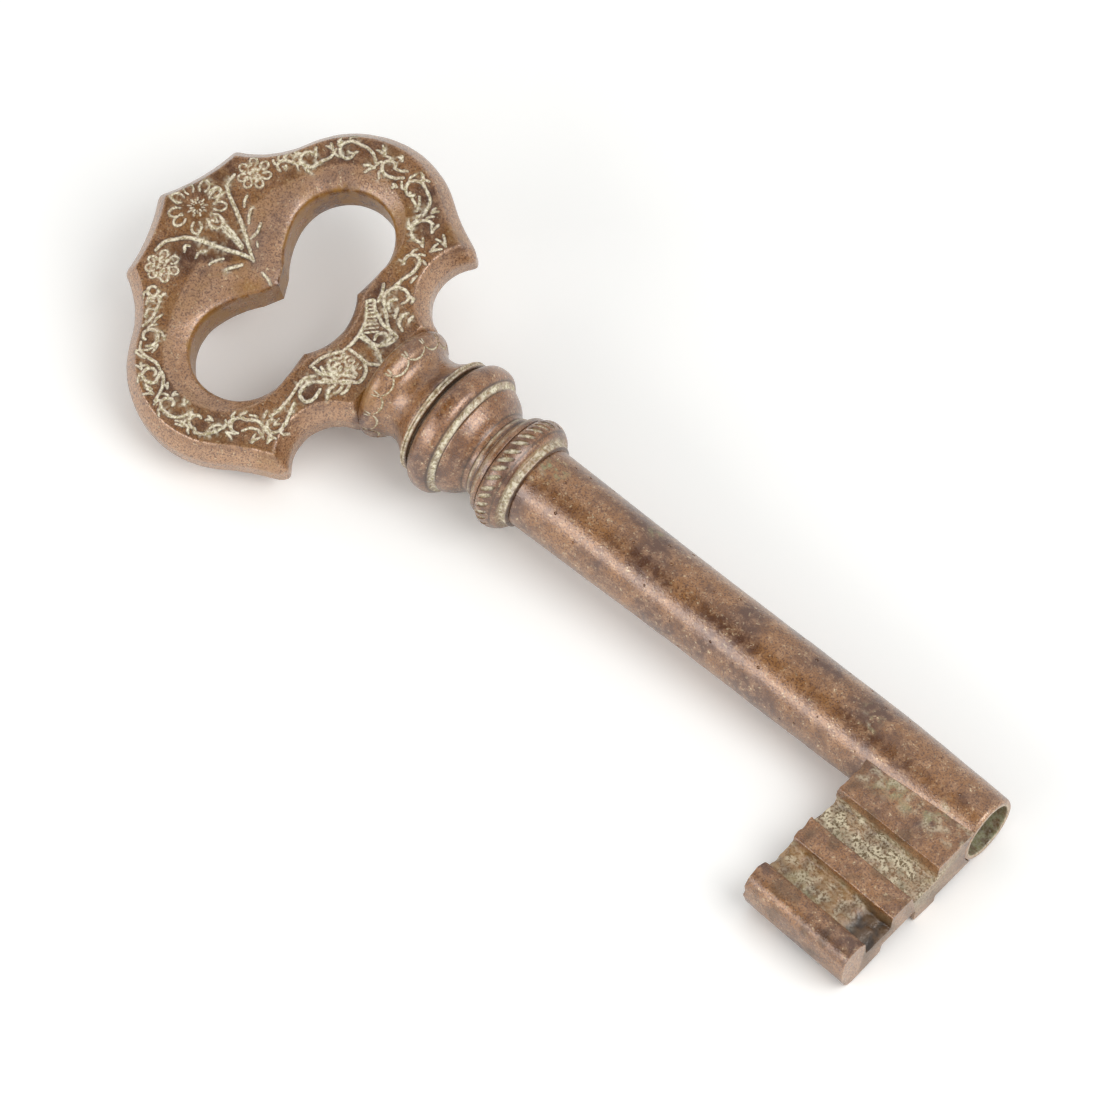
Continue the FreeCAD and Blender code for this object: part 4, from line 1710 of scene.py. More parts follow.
    def plate(self) -> Mesh:
        """Make the kidney ring: the engraved face, the plain back and the walls between them.

        Returns:
            The closed mesh.
        """
        front, front_faces = self.face(True)
        back, back_faces = self.face(False)
        back = back * (1, 1, -1)
        shift = len(front)
        faces = front_faces + [tuple(shift + v for v in reversed(f)) for f in back_faces]
        rings = ((0, len(self.outer)), (len(self.outer), len(self.opening)))
        points = [front, back]
        rows = 5
        count = len(front) + len(back)
        for first, length in rings:
            ladder = [np.arange(first, first + length)]
            for row in range(1, rows):
                share = row / rows
                low, high = front[first : first + length], back[first : first + length]
                points.append(low * (1 - share) + high * share)
                ladder.append(np.arange(count, count + length))
                count += length
            ladder.append(np.arange(shift + first, shift + first + length))
            for upper, lower in zip(ladder, ladder[1:]):
                for k in range(length):
                    after = (k + 1) % length
                    faces.append((upper[k], upper[after], lower[after], lower[k]))
        mesh = mesh_from("plate", np.vstack(points), faces)
        return outwards(mesh)

    def neck_corners(self) -> list[Corner]:
        """Give the bell neck's profile, with the blind hole for the tenon.

        Returns:
            The corners, from the root to the hole's end.
        """
        foot = self.neck_foot_x
        return [
            Corner(-107.8, 0),
            Corner(-107.8, 3.2, 1.5),
            Corner(-107.2, 7.3, 1.2),
            Corner(-105.9, 8.75, 1.6),
            Corner(-104.3, 8.35, 1.2),
            Corner(-102.9, 6.6, 1.6),
            Corner(-100.6, 6.65, 1.6),
            Corner(foot - 0.3, 8.15, 0.5),
            Corner(foot, 8.2, 0.15),
            Corner(foot, self.tenon_radius),
            Corner(foot - 4.6, self.tenon_radius),
            Corner(foot - 4.6, 0),
        ]

    def neck_outside(self) -> Rows:
        """Give rows of place and radius of the neck's outside, in order of place.

        Returns:
            Rows of place and radius.
        """
        rows = profile_rows(self.neck_corners(), 0.1)
        outside = rows[(rows[:, 0] < self.neck_side_end_x) & (rows[:, 1] > 6)]
        return outside[np.argsort(outside[:, 0])]

    def scallop(self) -> Mesh:
        """Make the cutter for one scallop of the neck's border: a bent round bar in the surface.

        Returns:
            The closed mesh.
        """
        outside = self.neck_outside()
        middles = []
        for angle in np.linspace(-math.pi / 2, math.pi / 2, 11):
            along = self.scallop_x + self.scallop_reach * math.cos(angle)
            across = self.scallop_half_width * math.sin(angle)
            radius = float(np.interp(along, outside[:, 0], outside[:, 1]))
            turn = math.pi / 2 - across / radius
            middles.append((along, radius * math.cos(turn), radius * math.sin(turn)))
        return bar_through(middles, self.scallop_radius)

    def make(self, turner: Turner) -> Mesh:
        """Build the bow and neck as one closed mesh with its marks.

        Args:
            turner: the lathe.

        Returns:
            The closed mesh.
        """
        neck = turner.turn(self.neck_corners(), 0.25, 168)
        scallops = turner.repeat(self.scallop(), self.scallop_count, 0.012)
        neck = combined(neck, scallops, Cut.TAKE_AWAY)
        bow = combined(self.plate(), neck, Cut.JOIN)
        marks = self.marks(bow)
        roughened(bow, [(5.0, 0.05), (1.6, 0.03)], 11.0)
        return with_marks(bow, marks)

    def marks(self, bow: Mesh) -> dict[str, Rows]:
        """Work out where the bow is filled, stained and worn, and where shade and highlight are painted on
        it.

        Args:
            bow: the bow and neck.

        Returns:
            The piece's marks.
        """
        points = points_of(bow)
        spots = points[:, :2]
        radius = np.hypot(points[:, 1], points[:, 2])
        share, _ = self.cut_shares(spots)
        on_front = smooth_step(2.4, 2.9, points[:, 2]) * (points[:, 0] < -107.4)
        crumbs = smooth_step(-0.25, 0.3, cast_noise(points, 0.5, 3.0))
        patches = smooth_step(-0.1, 0.35, cast_noise(points, 3.0, 4.0))
        fill = on_front * smooth_step(1.05, 0.6, share) * (0.7 + 0.3 * crumbs)
        smear = on_front * smooth_step(3.4, 1.0, share) * crumbs * patches
        # Painted shade: a dark rim along both sides of each engraved cut, where the cut's edge would be in
        # shadow.
        edge = on_front * smooth_step(0.75, 1.05, share) * smooth_step(1.9, 1.15, share)
        _, from_edge = nearest(self.outer_tree, spots)
        _, from_band = nearest(self.band_tree, spots)
        top = points[:, 2] > self.thickness / 2 - 0.45
        on_band = top & (from_edge > self.bevel_inset) & (points[:, 0] < -107)
        outside = self.neck_outside()
        sunk = np.interp(points[:, 0], outside[:, 0], outside[:, 1]) - radius
        on_neck = (points[:, 0] > -107.0) & (points[:, 0] < -103)
        cavity = on_neck * smooth_step(0.03, 0.14, sunk) * smooth_step(0.6, 0.3, sunk)
        # Painted highlight, partly real wear: a thin pale line along the crest of the outer bevel and along
        # the band's edge.
        crest_wear_and_highlight = np.exp(-(((from_edge - self.bevel_inset) / 0.22) ** 2)) * (points[:, 2] > 3)
        crest_wear_and_highlight += np.exp(-((from_band / 0.25) ** 2)) * (points[:, 2] > 3.4)
        _, from_opening = nearest(self.opening_tree, spots)
        # Painted highlight, partly real wear: the inner bevels are paled in patches so that they look lit.
        inner_bevel_wear_and_highlight = inside(spots, self.band) * (from_opening > 0.4) * (points[:, 2] > 0.9)
        inner_bevel_wear_and_highlight = inner_bevel_wear_and_highlight * (0.45 + 0.45 * patches)
        # Pale bevels: wear near the outline, and the painted highlight on the inner bevels.
        bevel_wear_and_highlight = np.maximum(smooth_step(1.5, 0.9, from_edge), inner_bevel_wear_and_highlight) * (points[:, 0] < -107)
        haze = np.zeros(len(points))
        for x, y, reach in self.hazy_spots:
            off_spot = np.hypot(spots[:, 0] - x, spots[:, 1] - y)
            haze = np.maximum(haze, smooth_step(reach, reach * 0.5, off_spot))
        fill = np.maximum(fill, np.maximum(on_front * haze * crumbs * 0.8, smear * 0.6))
        # Dark marks: the painted shade along the cuts' edges, and a light real stain on the flat band.
        stain_and_shade = np.maximum(edge * 0.85 * (1 - 0.4 * haze), on_band * 0.1)
        ochre = np.zeros(len(points))
        for x, y, reach, strength in self.ochre_spots:
            off_spot = np.hypot(spots[:, 0] - x, spots[:, 1] - y)
            ochre = np.maximum(ochre, smooth_step(reach, reach * 0.3, off_spot) * strength)
        on_wall = (from_opening < 0.4) & (np.abs(points[:, 2]) < 3.0)
        ochre = np.maximum(ochre, on_wall * smooth_step(-0.4, 0.1, cast_noise(points, 6.0, 8.0)))
        ochre = np.maximum(ochre, on_band * 0.35 * patches)
        return {
            "fill": np.maximum(fill, cavity * 0.9),
            "stain_and_shade": stain_and_shade * (1 - fill),
            # The pale crests and bevels are partly wear and partly painted highlight.
            "wear_and_highlight": np.minimum(crest_wear_and_highlight + bevel_wear_and_highlight, 1) * 0.8 * (1 - fill),
            "ochre": ochre * (1 - fill),
        }


def bar_through(middles: list, radius: float) -> Mesh:
    """Make a closed bar of six sides through points, with pointed ends.

    Args:
        middles: the points.
        radius: the bar's radius.

    Returns:
        The closed mesh.
    """
    spots = np.array(middles)
    ahead = np.gradient(spots, axis=0)
    ahead /= np.linalg.norm(ahead, axis=1)[:, None]
    out = spots * (0, 1, 1)
    out /= np.linalg.norm(out, axis=1)[:, None]
    side = np.cross(ahead, out)
    points = [spots[0] - ahead[0] * radius]
    for spot, one, other in zip(spots, out, side):
        for angle in np.arange(6) * math.tau / 6:
            points.append(spot + radius * (math.cos(angle) * one + math.sin(angle) * other))
    points.append(spots[-1] + ahead[-1] * radius)
    last = len(points) - 1
    faces = [(0, 1 + (k + 1) % 6, 1 + k) for k in range(6)]
    for ring in range(len(spots) - 1):
        first = 1 + ring * 6
        faces += [(first + k, first + (k + 1) % 6, first + 6 + (k + 1) % 6, first + 6 + k) for k in range(6)]
    faces += [(last, last - 6 + k, last - 6 + (k + 1) % 6) for k in range(6)]
    return outwards(mesh_from("bar", np.array(points), faces))


# The collars


@dataclass
class Collars:
    """The four turned collars between the neck and the barrel."""

    tenon_radius: float = 3.0
    nick_count: int = 34
    nick_slant: float = 36.0
    nick_middle: Spot = (-83.85, 0, 8.72)
    nick_radii: Spot = (2.2, 0.42, 0.66)
    upper_bands: tuple[Spot, ...] = ((-98.1, -97.2, 0.75),)
    bulb_bands: tuple[Spot, ...] = ((-97.0, -96.4, 0.5), (-92.75, -92.05, 1.0))
    lower_bands: tuple[Spot, ...] = ((-88.1, -87.6, 0.6),)
    roped_bands: tuple[Spot, ...] = ((-86.6, -85.9, 0.35), (-81.75, -80.75, 0.85))
    dark_lines: tuple[float, ...] = (
        -98.25, -97.05, -96.4, -92.85, -91.95, -88.95, -88.05, -87.2, -86.75, -85.15, -82.4, -80.6,
    )

    def upper_disc(self) -> list[Corner]:
        """Give the neck disc's profile, with a fine line round its rim.

        Returns:
            The corners.
        """
        hole = self.tenon_radius
        return [
            Corner(-98.3, hole),
            Corner(-98.3, 8.2, 0.1),
            Corner(-98.0, 8.95, 0.2),
            Corner(-97.75, 8.95),
            Corner(-97.62, 8.7, 0.05),
            Corner(-97.5, 8.95),
            Corner(-97.25, 8.95, 0.2),
            Corner(-97.0, 8.65, 0.1),
            Corner(-97.0, hole),
            Corner(-98.3, hole),
        ]

    def bulb(self) -> list[Corner]:
        """Give the bulb's profile: undercut, full round, incised line and cone.

        Returns:
            The corners.
        """
        hole = self.tenon_radius
        return [
            Corner(-97.0, hole),
            Corner(-97.0, 8.0),
            Corner(-96.5, 8.0, 0.1),
            Corner(-96.5, 9.1, 0.2),
            Corner(-95.6, 10.1, 1.0),
            Corner(-93.6, 10.15, 1.2),
            Corner(-92.7, 9.2, 0.25),
            Corner(-92.6, 8.75, 0.1),
            Corner(-92.0, 8.35, 0.1),
            Corner(-91.8, 8.55, 0.2),
            Corner(-90.2, 7.75, 0.8),
            Corner(-88.9, 6.3, 0.8),
            Corner(-88.1, 6.25, 0.1),
            Corner(-88.1, hole),
            Corner(-97.0, hole),
        ]

    def lower_disc(self) -> list[Corner]:
        """Give the profile of the disc behind the roped ring.

        Returns:
            The corners.
        """
        hole = self.tenon_radius
        return [
            Corner(-88.1, hole),
            Corner(-88.1, 6.3, 0.1),
            Corner(-87.75, 6.5, 0.15),
            Corner(-87.0, 6.5, 0.15),
            Corner(-86.7, 6.2, 0.1),
            Corner(-86.7, hole),
            Corner(-88.1, hole),
        ]

    def roped(self) -> list[Corner]:
        """Give the roped ring's profile before its nicks: a ridge, a line, the bead and the step.

        Returns:
            The corners.
        """
        hole = self.tenon_radius
        return [
            Corner(-86.7, hole),
            Corner(-86.7, 7.1, 0.1),
            Corner(-86.2, 7.75, 0.3),
            Corner(-85.35, 7.95, 0.15),
            Corner(-85.2, 7.75, 0.05),
            Corner(-85.05, 8.15, 0.15),
            Corner(-84.2, 8.65, 1.0),
            Corner(-82.9, 8.5, 1.0),
            Corner(-81.8, 7.7, 0.4),
            Corner(-81.7, 6.75, 0.2),
            Corner(-80.7, 6.7, 0.2),
            Corner(-80.5, 6.2, 0.1),
            Corner(-80.5, hole),
            Corner(-86.7, hole),
        ]

    def cavity_marks(self, mesh: Mesh, corners: list[Corner], bands: tuple[Spot, ...]) -> dict[str, Rows]:
        """Fill what lies under the profile, and the bands that hold pale deposit.

        Args:
            mesh: the cut mesh.
            corners: its profile before the cuts.
            bands: each band's two ends along the axis and its strength.

        Returns:
            The piece's marks.
        """
        points = points_of(mesh)
        radius = np.hypot(points[:, 1], points[:, 2])
        rows = profile_rows(corners, 0.05)
        rim = rows[rows[:, 1] > self.tenon_radius + 1.5]
        rim = rim[np.argsort(rim[:, 0], kind="stable")]
        depth = np.interp(points[:, 0], rim[:, 0], rim[:, 1]) - radius
        fill = smooth_step(0.1, 0.4, depth) * 0.85
        crumbs = 0.5 + 0.5 * smooth_step(-0.3, 0.3, cast_noise(points, 0.7, 5.0))
        for start, end, strength in bands:
            middle, half = (start + end) / 2, (end - start) / 2
            here = smooth_step(1.25, 0.75, np.abs(points[:, 0] - middle) / half)
            fill = np.maximum(fill, here * strength * crumbs)
        lines = np.zeros(len(points))
        for along in self.dark_lines:
            lines = np.maximum(lines, np.exp(-(((points[:, 0] - along) / 0.13) ** 2)) * 0.8)
        sides = smooth_step(0.02, 0.1, depth) * (1 - fill) * 0.7
        return {"fill": fill * (1 - lines), "stain_and_shade": np.maximum(lines, sides)}

    def make_roped(self, turner: Turner) -> Mesh:
        """Turn the roped ring and cut its nicks.

        Args:
            turner: the lathe.

        Returns:
            The closed mesh.
        """
        ring = turner.turn(self.roped(), 0.25, 204)
        nick = ball_on(self.nick_middle, self.nick_radii, self.nick_slant)
        return combined(ring, turner.repeat(nick, self.nick_count, 0.02), Cut.TAKE_AWAY)

    def dress(self, turner: Turner, finish: Material) -> None:
        """Build the four collars and hand them over.

        Args:
            turner: the lathe.
            finish: their material.
        """
        upper = turner.turn(self.upper_disc(), 0.3, 144)
        with_marks(upper, self.cavity_marks(upper, self.upper_disc(), self.upper_bands))
        hand_over("neck_disc", upper, finish, "upper_disc")
        bulb = turner.turn(self.bulb(), 0.3, 160)
        marks = self.cavity_marks(bulb, self.bulb(), self.bulb_bands)
        with_marks(roughened(bulb, [(4.0, 0.04)], 21.0), marks)
        hand_over("turned_bulb", bulb, finish, "bulb_collar")
        lower = turner.turn(self.lower_disc(), 0.3, 128)
        with_marks(lower, self.cavity_marks(lower, self.lower_disc(), self.lower_bands))
        hand_over("ring_disc", lower, finish, "lower_disc")
        ring = self.make_roped(turner)
        marks = self.cavity_marks(ring, self.roped(), self.roped_bands)
        with_marks(ring, marks)
        hand_over("roped_ring", ring, finish, "rope_ring")


# The barrel


@dataclass
class Barrel:
    """The long hollow barrel, pitted by age, with its blind bore."""

    root_x: float = -80.5
    bore_radius: float = 4.0
    bore_depth: float = 52.0
    tenon_radius: float = 3.0
    tenon_depth: float = 10.0
    mouth_radius: float = 4.72
    blank_end_x: float = 0.6
    mean_radius: float = 6.0
    green_spots: tuple[tuple[float, float, float, float], ...] = (
        (-78.5, 70, 3.0, 1.0),
        (-62.0, 45, 2.2, 0.5),
        (-20.5, 78, 2.6, 0.5),
        (-23.0, 62, 1.8, 0.4),
    )
    crusted_spots: tuple[Spot, ...] = (
        (-16.5, 150, 2.6),
        (-4.5, 153, 2.2),
        (-21.0, 82, 2.4),
        (-80.0, 90, 1.6),
        (-5.0, 108, 1.6),
        (-11.0, 140, 2.0),
    )

    def outside(self) -> list[Corner]:
        """Give the outside's profile, root to mouth.

        Returns:
            The corners.
        """
        return [
            Corner(self.root_x, 6.15, 0.1),
            Corner(-55.0, 5.75, 4.0),
            Corner(-18.0, 5.75, 4.0),
            Corner(-0.35, 5.02, 0.25),
            Corner(0.0, self.mouth_radius, 0.15),
        ]

    def corners(self) -> list[Corner]:
        """Give the whole profile: the tenon's hole, the outside and the bore.

        Returns:
            The corners, from the tenon's hole round to the bore's end.
        """
        hole_end = self.root_x + self.tenon_depth
        return (
            [Corner(hole_end, 0), Corner(hole_end, self.tenon_radius), Corner(self.root_x, self.tenon_radius)]
            + self.outside()
            + [
                Corner(0.0, self.bore_radius + 0.1, 0.1),
                Corner(-0.2, self.bore_radius, 0.1),
                Corner(-self.bore_depth, self.bore_radius),
                Corner(-self.bore_depth - 2.4, 0),
            ]
        )

    def blank(self, turner: Turner) -> Mesh:
        """Make the barrel's outside as a solid bar, which the bit is fitted to."""
        end = [Corner(self.blank_end_x, self.mouth_radius), Corner(self.blank_end_x, 0)]
        return turner.turn([Corner(self.root_x, 0)] + self.outside()[:-1] + end, 1.0, 144)

    def dress(self, turner: Turner, finish: Material) -> None:
        """Build the barrel and hand it over.

        Args:
            turner: the lathe.
            finish: its material.
        """
        barrel = turner.turn(self.corners(), 0.55, 144)
        roughened(barrel, [(14.0, 0.07), (4.0, 0.04), (1.4, 0.012)], 31.0)
        pits = turner.pits(barrel, 2.0, 0.06, (0.1, 0.3), 5)
        barrel = combined(barrel, pits, Cut.TAKE_AWAY)
        with_marks(barrel, self.marks(barrel))
        hand_over("long_barrel", barrel, finish, "barrel")

    def marks(self, barrel: Mesh) -> dict[str, Rows]:
        """Work out where the barrel is crusted, green or dark.

        Args:
            barrel: the barrel.

        Returns:
            The piece's marks.
        """
        points = points_of(barrel)
        radius = np.hypot(points[:, 1], points[:, 2])
        angle = np.degrees(np.arctan2(points[:, 2], points[:, 1]))
        in_bore = (radius < self.bore_radius + 0.35) & (points[:, 0] < -0.1)
        green = np.zeros(len(points))
        fill = np.zeros(len(points))
        for along, turn, reach, strength in self.green_spots:
            off = np.hypot(points[:, 0] - along, np.radians(angle - turn) * self.mean_radius)
            green = np.maximum(green, smooth_step(reach, 0.2, off) * strength)
        crumbs = smooth_step(0.05, 0.4, cast_noise(points, 1.1, 9.0))
        green *= smooth_step(0.0, 0.25, cast_noise(points, 0.6, 10.0))
        for along, turn, reach in self.crusted_spots:
            off = np.hypot(points[:, 0] - along, np.radians(angle - turn) * self.mean_radius)
            fill = np.maximum(fill, smooth_step(reach, 0.3, off) * 0.55 * crumbs)
        rim = (points[:, 0] > -0.12) & (radius < 4.35)
        return {
            "fill": np.where(in_bore, 0.25, np.maximum(fill, rim * 0.5)),
            "stain_and_shade": np.where(in_bore, 0.45, 0.0),
            "wear_and_highlight": smooth_step(-0.6, -0.1, points[:, 0]) * (~in_bore) * 0.7,
            "green": np.where(in_bore, 0.6, green),
        }


# The bit


@dataclass
class Bit:
    """The grooved bit at the mouth: a land, a groove, a ridge, a groove and a full bead at its end."""

    length: float = 18.0
    reach: float = 30.2
    back_reach_share: float = 0.97
    turn: float = 13.0
    root_reach: float = 2.5
    step: float = 0.3

    def section(self) -> list[Spot]:
        """Give the section's corners as share of the reach, height and rounding.

        Returns:
            The corners, in order.
        """
        return [
            (self.root_reach / self.reach, 3.8, 0.0),
            (0.348, 3.8, 0.25),
            (0.36, 0.9, 0.5),
            (0.517, 0.9, 0.5),
            (0.529, 2.8, 0.3),
            (0.662, 2.8, 0.3),
            (0.674, 1.1, 0.5),
            (0.841, 1.1, 0.5),
            (0.853, 3.4, 0.25),
            (0.9, 4.15, 0.8),
            (0.96, 4.1, 0.9),
            (0.996, 3.0, 1.0),
            (1.004, 0.0, 1.5),
            (0.992, -2.0, 1.0),
            (0.965, -3.5, 0.8),
            (0.928, -3.75, 0.6),
            (0.739, -3.4, 0.4),
            (0.727, -1.8, 0.4),
            (0.498, -1.8, 0.4),
            (0.504, -4.3, 0.4),
            (0.362, -4.7, 0.4),
            (0.36, -3.4, 0.4),
            (self.root_reach / self.reach, -3.4, 0.0),
        ]

    def outline(self) -> Rows:
        """Run round the section in small steps, as shares of the reach and heights.

        Returns:
            Rows of share and height.
        """
        corners = [Corner(share * self.reach, height, rounding) for share, height, rounding in self.section()]
        closed = corners + [corners[0]]
        rows = profile_rows(closed, self.step)[:-1]
        return rows * (1 / self.reach, 1)

    def blank(self) -> Mesh:
        """Loft the section from the back end to the mouth.

        Returns:
            The closed mesh.
        """
        outline = self.outline()
        count = len(outline)
        stations = np.linspace(-self.length, 0, int(self.length / self.step) + 1)
        points = []
        for along in stations:
            share = 1 + (1 - self.back_reach_share) * along / self.length
            reach = outline[:, 0] * self.reach * share
            points.append(np.column_stack([np.full(count, along), -reach, outline[:, 1]]))
        faces = []
        for ring in range(len(stations) - 1):
            first = ring * count
            for k in range(count):
                after = (k + 1) % count
                faces.append((first + k, first + after, first + count + after, first + count + k))
        faces.append(tuple(range(count)))
        faces.append(tuple(range(len(stations) * count - 1, (len(stations) - 1) * count - 1, -1)))
        return outwards(mesh_from("bit", np.vstack(points), faces))

    def in_grooves(self, points: Rows) -> tuple[Rows, Rows]:
        """Tell how far points are in the first and the second groove, before the bit is turned.

        Args:
            points: rows of x, y and z.

        Returns:
            Two shares for each point.
        """
        share = -points[:, 1] / (self.reach * (1 + (1 - self.back_reach_share) * points[:, 0] / self.length))
        low = smooth_step(2.6, 1.6, points[:, 2]) * (points[:, 2] > 0)
        first = low * smooth_step(0.34, 0.36, share) * smooth_step(0.535, 0.515, share)
        second = low * smooth_step(0.655, 0.675, share) * smooth_step(0.86, 0.84, share)
        return first, second

    def crusted(self, bit: Mesh) -> dict[str, Rows]:
        """Roughen the grooves, sink the hollow at the second one's end and give the marks.

        Args:
            bit: the bit, which is moved.

        Returns:
            The piece's marks.
        """
        points = points_of(bit)
        normals = normals_of(bit)
        first, second = self.in_grooves(points)
        grooves = np.maximum(first, second)
        lumps = cast_noise(points, 1.6, 41.0) * 0.28 + cast_noise(points, 0.7, 42.0) * 0.16
        everywhere = cast_noise(points, 4.0, 43.0) * 0.06 + cast_noise(points, 1.2, 44.0) * 0.025
        hollow = second * smooth_step(-6.0, -3.6, points[:, 0] + 0.4 * cast_noise(points, 2.0, 45.0))
        ragged = cast_noise(points * (0, 1, 1), 1.5, 48.0) * 0.35 * (points[:, 0] < 0.05 - self.length)
        shift = (grooves * lumps + everywhere + ragged) * (np.abs(points[:, 0]) > 0.05)
        moved = points + normals * shift[:, None]
        moved[:, 2] -= hollow * 0.75
        move_points(bit, moved)
        land = smooth_step(3.2, 3.6, points[:, 2]) * smooth_step(-8.0, -6.6, points[:, 1])
        crumbs = smooth_step(-0.1, 0.35, cast_noise(points, 1.3, 46.0))
        patches = smooth_step(0.1, 0.35, cast_noise(points, 3.2, 47.0))
        sunken = smooth_step(0.05, -0.2, lumps)
        smoky = smooth_step(0.0, 0.4, cast_noise(points, 2.4, 49.0)) * (1 - grooves)
        crust = first * (0.45 + 0.5 * crumbs) + second * (0.2 + 0.4 * crumbs) + land * 0.5 * crumbs
        return {
            "fill": np.clip(crust, 0, 1) * (1 - 0.9 * hollow),
            "stain_and_shade": hollow * 0.7 + grooves * sunken * 0.55 + smoky * 0.45,
            "wear_and_highlight": smooth_step(-0.3, -0.05, points[:, 0]) * 0.8,
            "green": (grooves * 0.35 + land * 0.5) * patches * (1 - hollow),
            "ochre": second * 0.8 + smoky * 0.3,
        }

    def dress(self, blank_barrel: Mesh, finish: Material) -> None:
        """Build the bit, fit it to the barrel's side and hand it over.

        Args:
            blank_barrel: the barrel as a solid bar.
            finish: its material.
        """
        bit = self.blank()
        with_marks(bit, self.crusted(bit))
        turn = np.array(Matrix.Rotation(math.radians(-self.turn), 3, "X"))
        move_points(bit, points_of(bit) @ turn.T)
        bit = combined(bit, blank_barrel, Cut.TAKE_AWAY)
        hand_over("grooved_bit", bit, finish, "bit")


# The studio


@dataclass(frozen=True)
class SoftBox:
    """A soft box: where it hangs as seen from the key, how far off in metres, its size and its power."""

    name: str
    direction: Spot
    distance: float
    size: Point
    watts: float


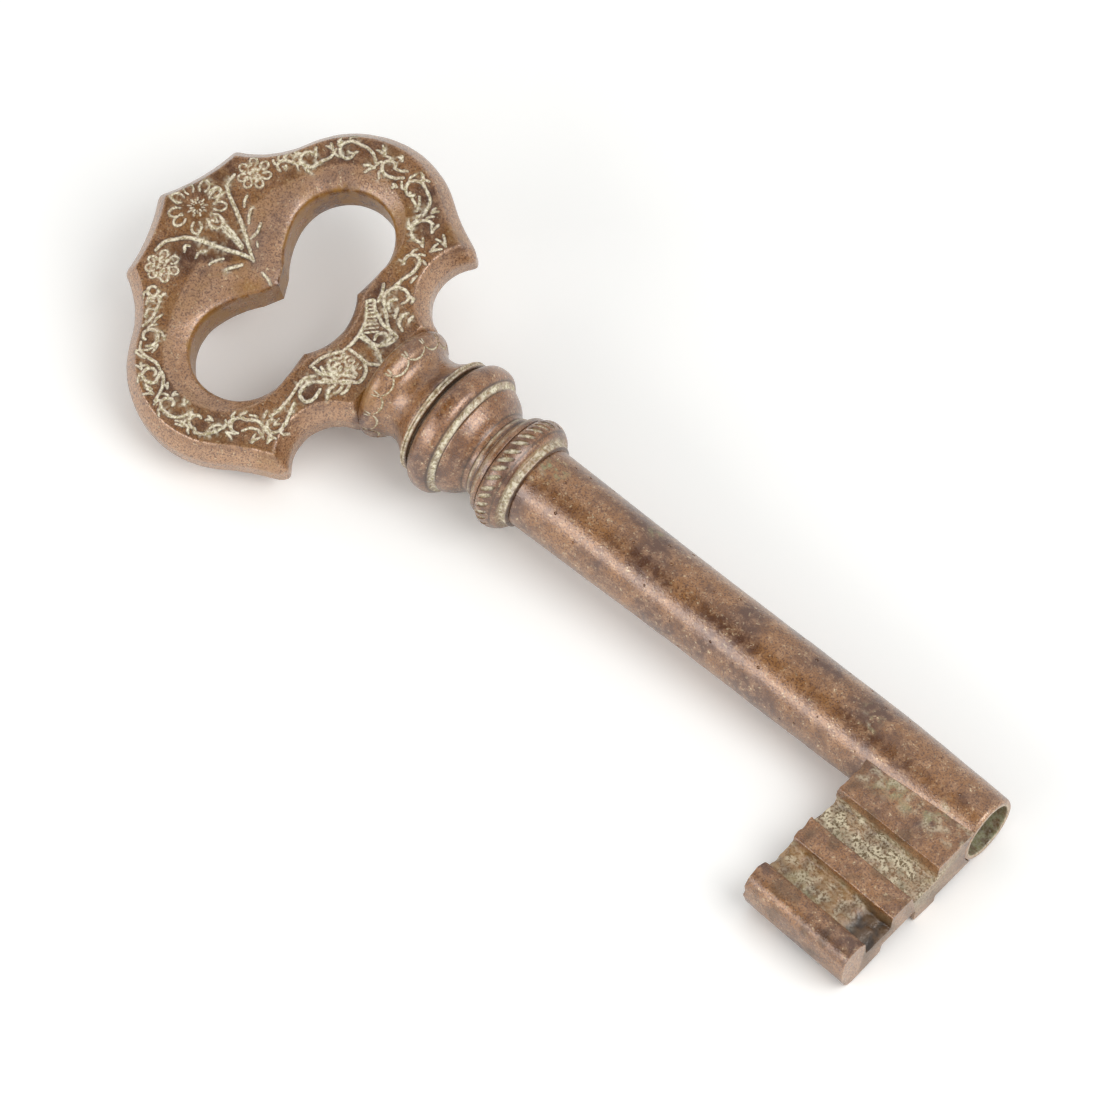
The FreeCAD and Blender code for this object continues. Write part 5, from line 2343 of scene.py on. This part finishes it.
@dataclass(frozen=True)
class Studio:
    """A white table in a light tent: bright walls, the dark gap for the camera and two soft boxes."""

    wall_light: float = 0.58
    roof_light: float = 0.68
    gap_direction: Spot = (-0.42, -0.28, 0.86)
    camera_place: Spot = (0.385025, -0.545324, 1.007723)
    camera_right: Spot = (0.75171, 0.6594, 0.0113)
    camera_up: Spot = (-0.54411, 0.61041, 0.57563)
    camera_back: Spot = (0.37267, -0.43885, 0.81764)
    focal_length: float = 294.55
    middle: Spot = (-0.072, 0.0, 0.0)
    soft_boxes: tuple[SoftBox, ...] = (
        SoftBox("left_soft_box", (-0.31, -0.85, 0.42), 0.7, (0.8, 0.3), 1.9),
        SoftBox("right_soft_box", (0.66, 0.05, 0.75), 0.9, (0.6, 0.6), 3.4),
    )

    def lay_table(self) -> None:
        """Lay the table top under the key."""
        half = 2.0
        height = cad_box[0][2]
        corners = [(-half, -half), (half, -half), (half, half), (-half, half)]
        points = np.array([(x, y, height) for x, y in corners])
        top = mesh_from("table_top", points, [(0, 1, 2, 3)])
        table = bpy.data.objects.new("table_top", top)
        table.data.materials.append(PaintedFloor().make())
        bpy.context.scene.collection.objects.link(table)

    def hang_tent(self) -> None:
        """Light the world: bright walls with a dark gap overhead, and white where the camera sees it."""
        world = bpy.data.worlds.new("light_tent")
        bpy.context.scene.world = world
        world.use_nodes = True
        tree = world.node_tree
        tree.nodes.clear()
        direction = add_node(tree, "ShaderNodeTexCoord").outputs["Generated"]
        nearness = add_node(
            tree, "ShaderNodeVectorMath", {0: direction, 1: self.gap_direction}, operation="DOT_PRODUCT"
        ).outputs["Value"]
        height = add_node(tree, "ShaderNodeSeparateXYZ", {0: direction}).outputs["Z"]
        light = add_node(
            tree,
            "ShaderNodeMapRange",
            {"Value": height, "To Min": self.wall_light, "To Max": self.roof_light},
        ).outputs[0]
        beside_gap = add_node(
            tree,
            "ShaderNodeMapRange",
            {"Value": nearness, "From Min": 0.9, "From Max": 0.965, "To Min": 1.0, "To Max": 0.05},
        ).outputs[0]
        light = maths(tree, "MULTIPLY", light, beside_gap)
        tent = add_node(tree, "ShaderNodeBackground", {"Color": linear("#ffffff"), "Strength": light})
        seen = add_node(tree, "ShaderNodeBackground", {"Color": linear("#f9f9f7"), "Strength": 1.0})
        by_camera = add_node(tree, "ShaderNodeLightPath").outputs["Is Camera Ray"]
        mixed = add_node(tree, "ShaderNodeMixShader", {0: by_camera, 1: tent.outputs[0], 2: seen.outputs[0]})
        add_node(tree, "ShaderNodeOutputWorld", {"Surface": mixed.outputs[0]})

    def hang_box(self, box: SoftBox) -> None:
        """Hang a soft box that faces the key.

        Args:
            box: the soft box.
        """
        lamp = bpy.data.lights.new(box.name, "AREA")
        lamp.shape = "RECTANGLE"
        lamp.size, lamp.size_y = box.size
        lamp.energy = box.watts
        hung = bpy.data.objects.new(box.name, lamp)
        towards = Vector(box.direction).normalized()
        hung.location = Vector(self.middle) + towards * box.distance
        hung.rotation_euler = towards.to_track_quat("Z", "Y").to_euler()
        bpy.context.scene.collection.objects.link(hung)

    def set_camera(self) -> None:
        """Stand the camera where the photograph was taken from."""
        data = bpy.data.cameras.new("camera")
        data.lens = self.focal_length
        data.sensor_width = 36.0
        data.clip_start = 0.05
        data.clip_end = 20.0
        camera = bpy.data.objects.new("camera", data)
        axes = Matrix((self.camera_right, self.camera_up, self.camera_back)).transposed()
        camera.rotation_mode = "QUATERNION"
        camera.rotation_quaternion = axes.to_quaternion()
        camera.location = self.camera_place
        bpy.context.scene.collection.objects.link(camera)
        bpy.context.scene.camera = camera

    def make(self) -> None:
        """Set up the table, the light and the camera."""
        self.lay_table()
        self.hang_tent()
        for box in self.soft_boxes:
            self.hang_box(box)
        self.set_camera()
        bpy.context.scene.view_settings.view_transform = "Standard"


def main() -> None:
    """Build and dress the key, piece by piece, and set up the studio."""
    turner = Turner()
    bow = Bow()
    bow_mesh = bow.make(turner)
    # Cast, engraved and worn by hands: dark in the cuts, with painted shade along their edges,
    # and pinkish on the bevels, with a painted highlight on the crests and inner bevels.
    bow_finish = PatinatedBronze("patinated_bronze_bow").make()
    hand_over("engraved_bow", bow_mesh, bow_finish, "bow")
    # Turned and less handled: a little darker, with pale deposit in the grooves.
    collar_finish = PatinatedBronze("patinated_bronze_collars", body="#96602c", deep="#5c3210").make()
    Collars().dress(turner, collar_finish)
    barrel = Barrel()
    # Cast and made satin by the hand that turns it: one long soft streak of light.
    barrel.dress(turner, PatinatedBronze("patinated_bronze_barrel", roughness=0.3).make())
    # Cast and never polished: pale crust in the grooves, and a rough skin that breaks the light.
    bit_finish = PatinatedBronze(
        "crusted_bronze_bit", fill="#e0d4b6", fill_shade="#6e5a38", relief_mm=0.12
    ).make()
    Bit().dress(barrel.blank(turner), bit_finish)
    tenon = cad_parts["tenon"]
    tenon.data.materials.clear()
    # Turned and kept from the air by the collars: plain and even.
    plain = PatinatedBronze("plain_turned_bronze", body="#b08a5a", deep="#94703f")
    tenon.data.materials.append(plain.make())
    Studio().make()
    bpy.context.view_layer.update()


if __name__ == "__main__":
    main()
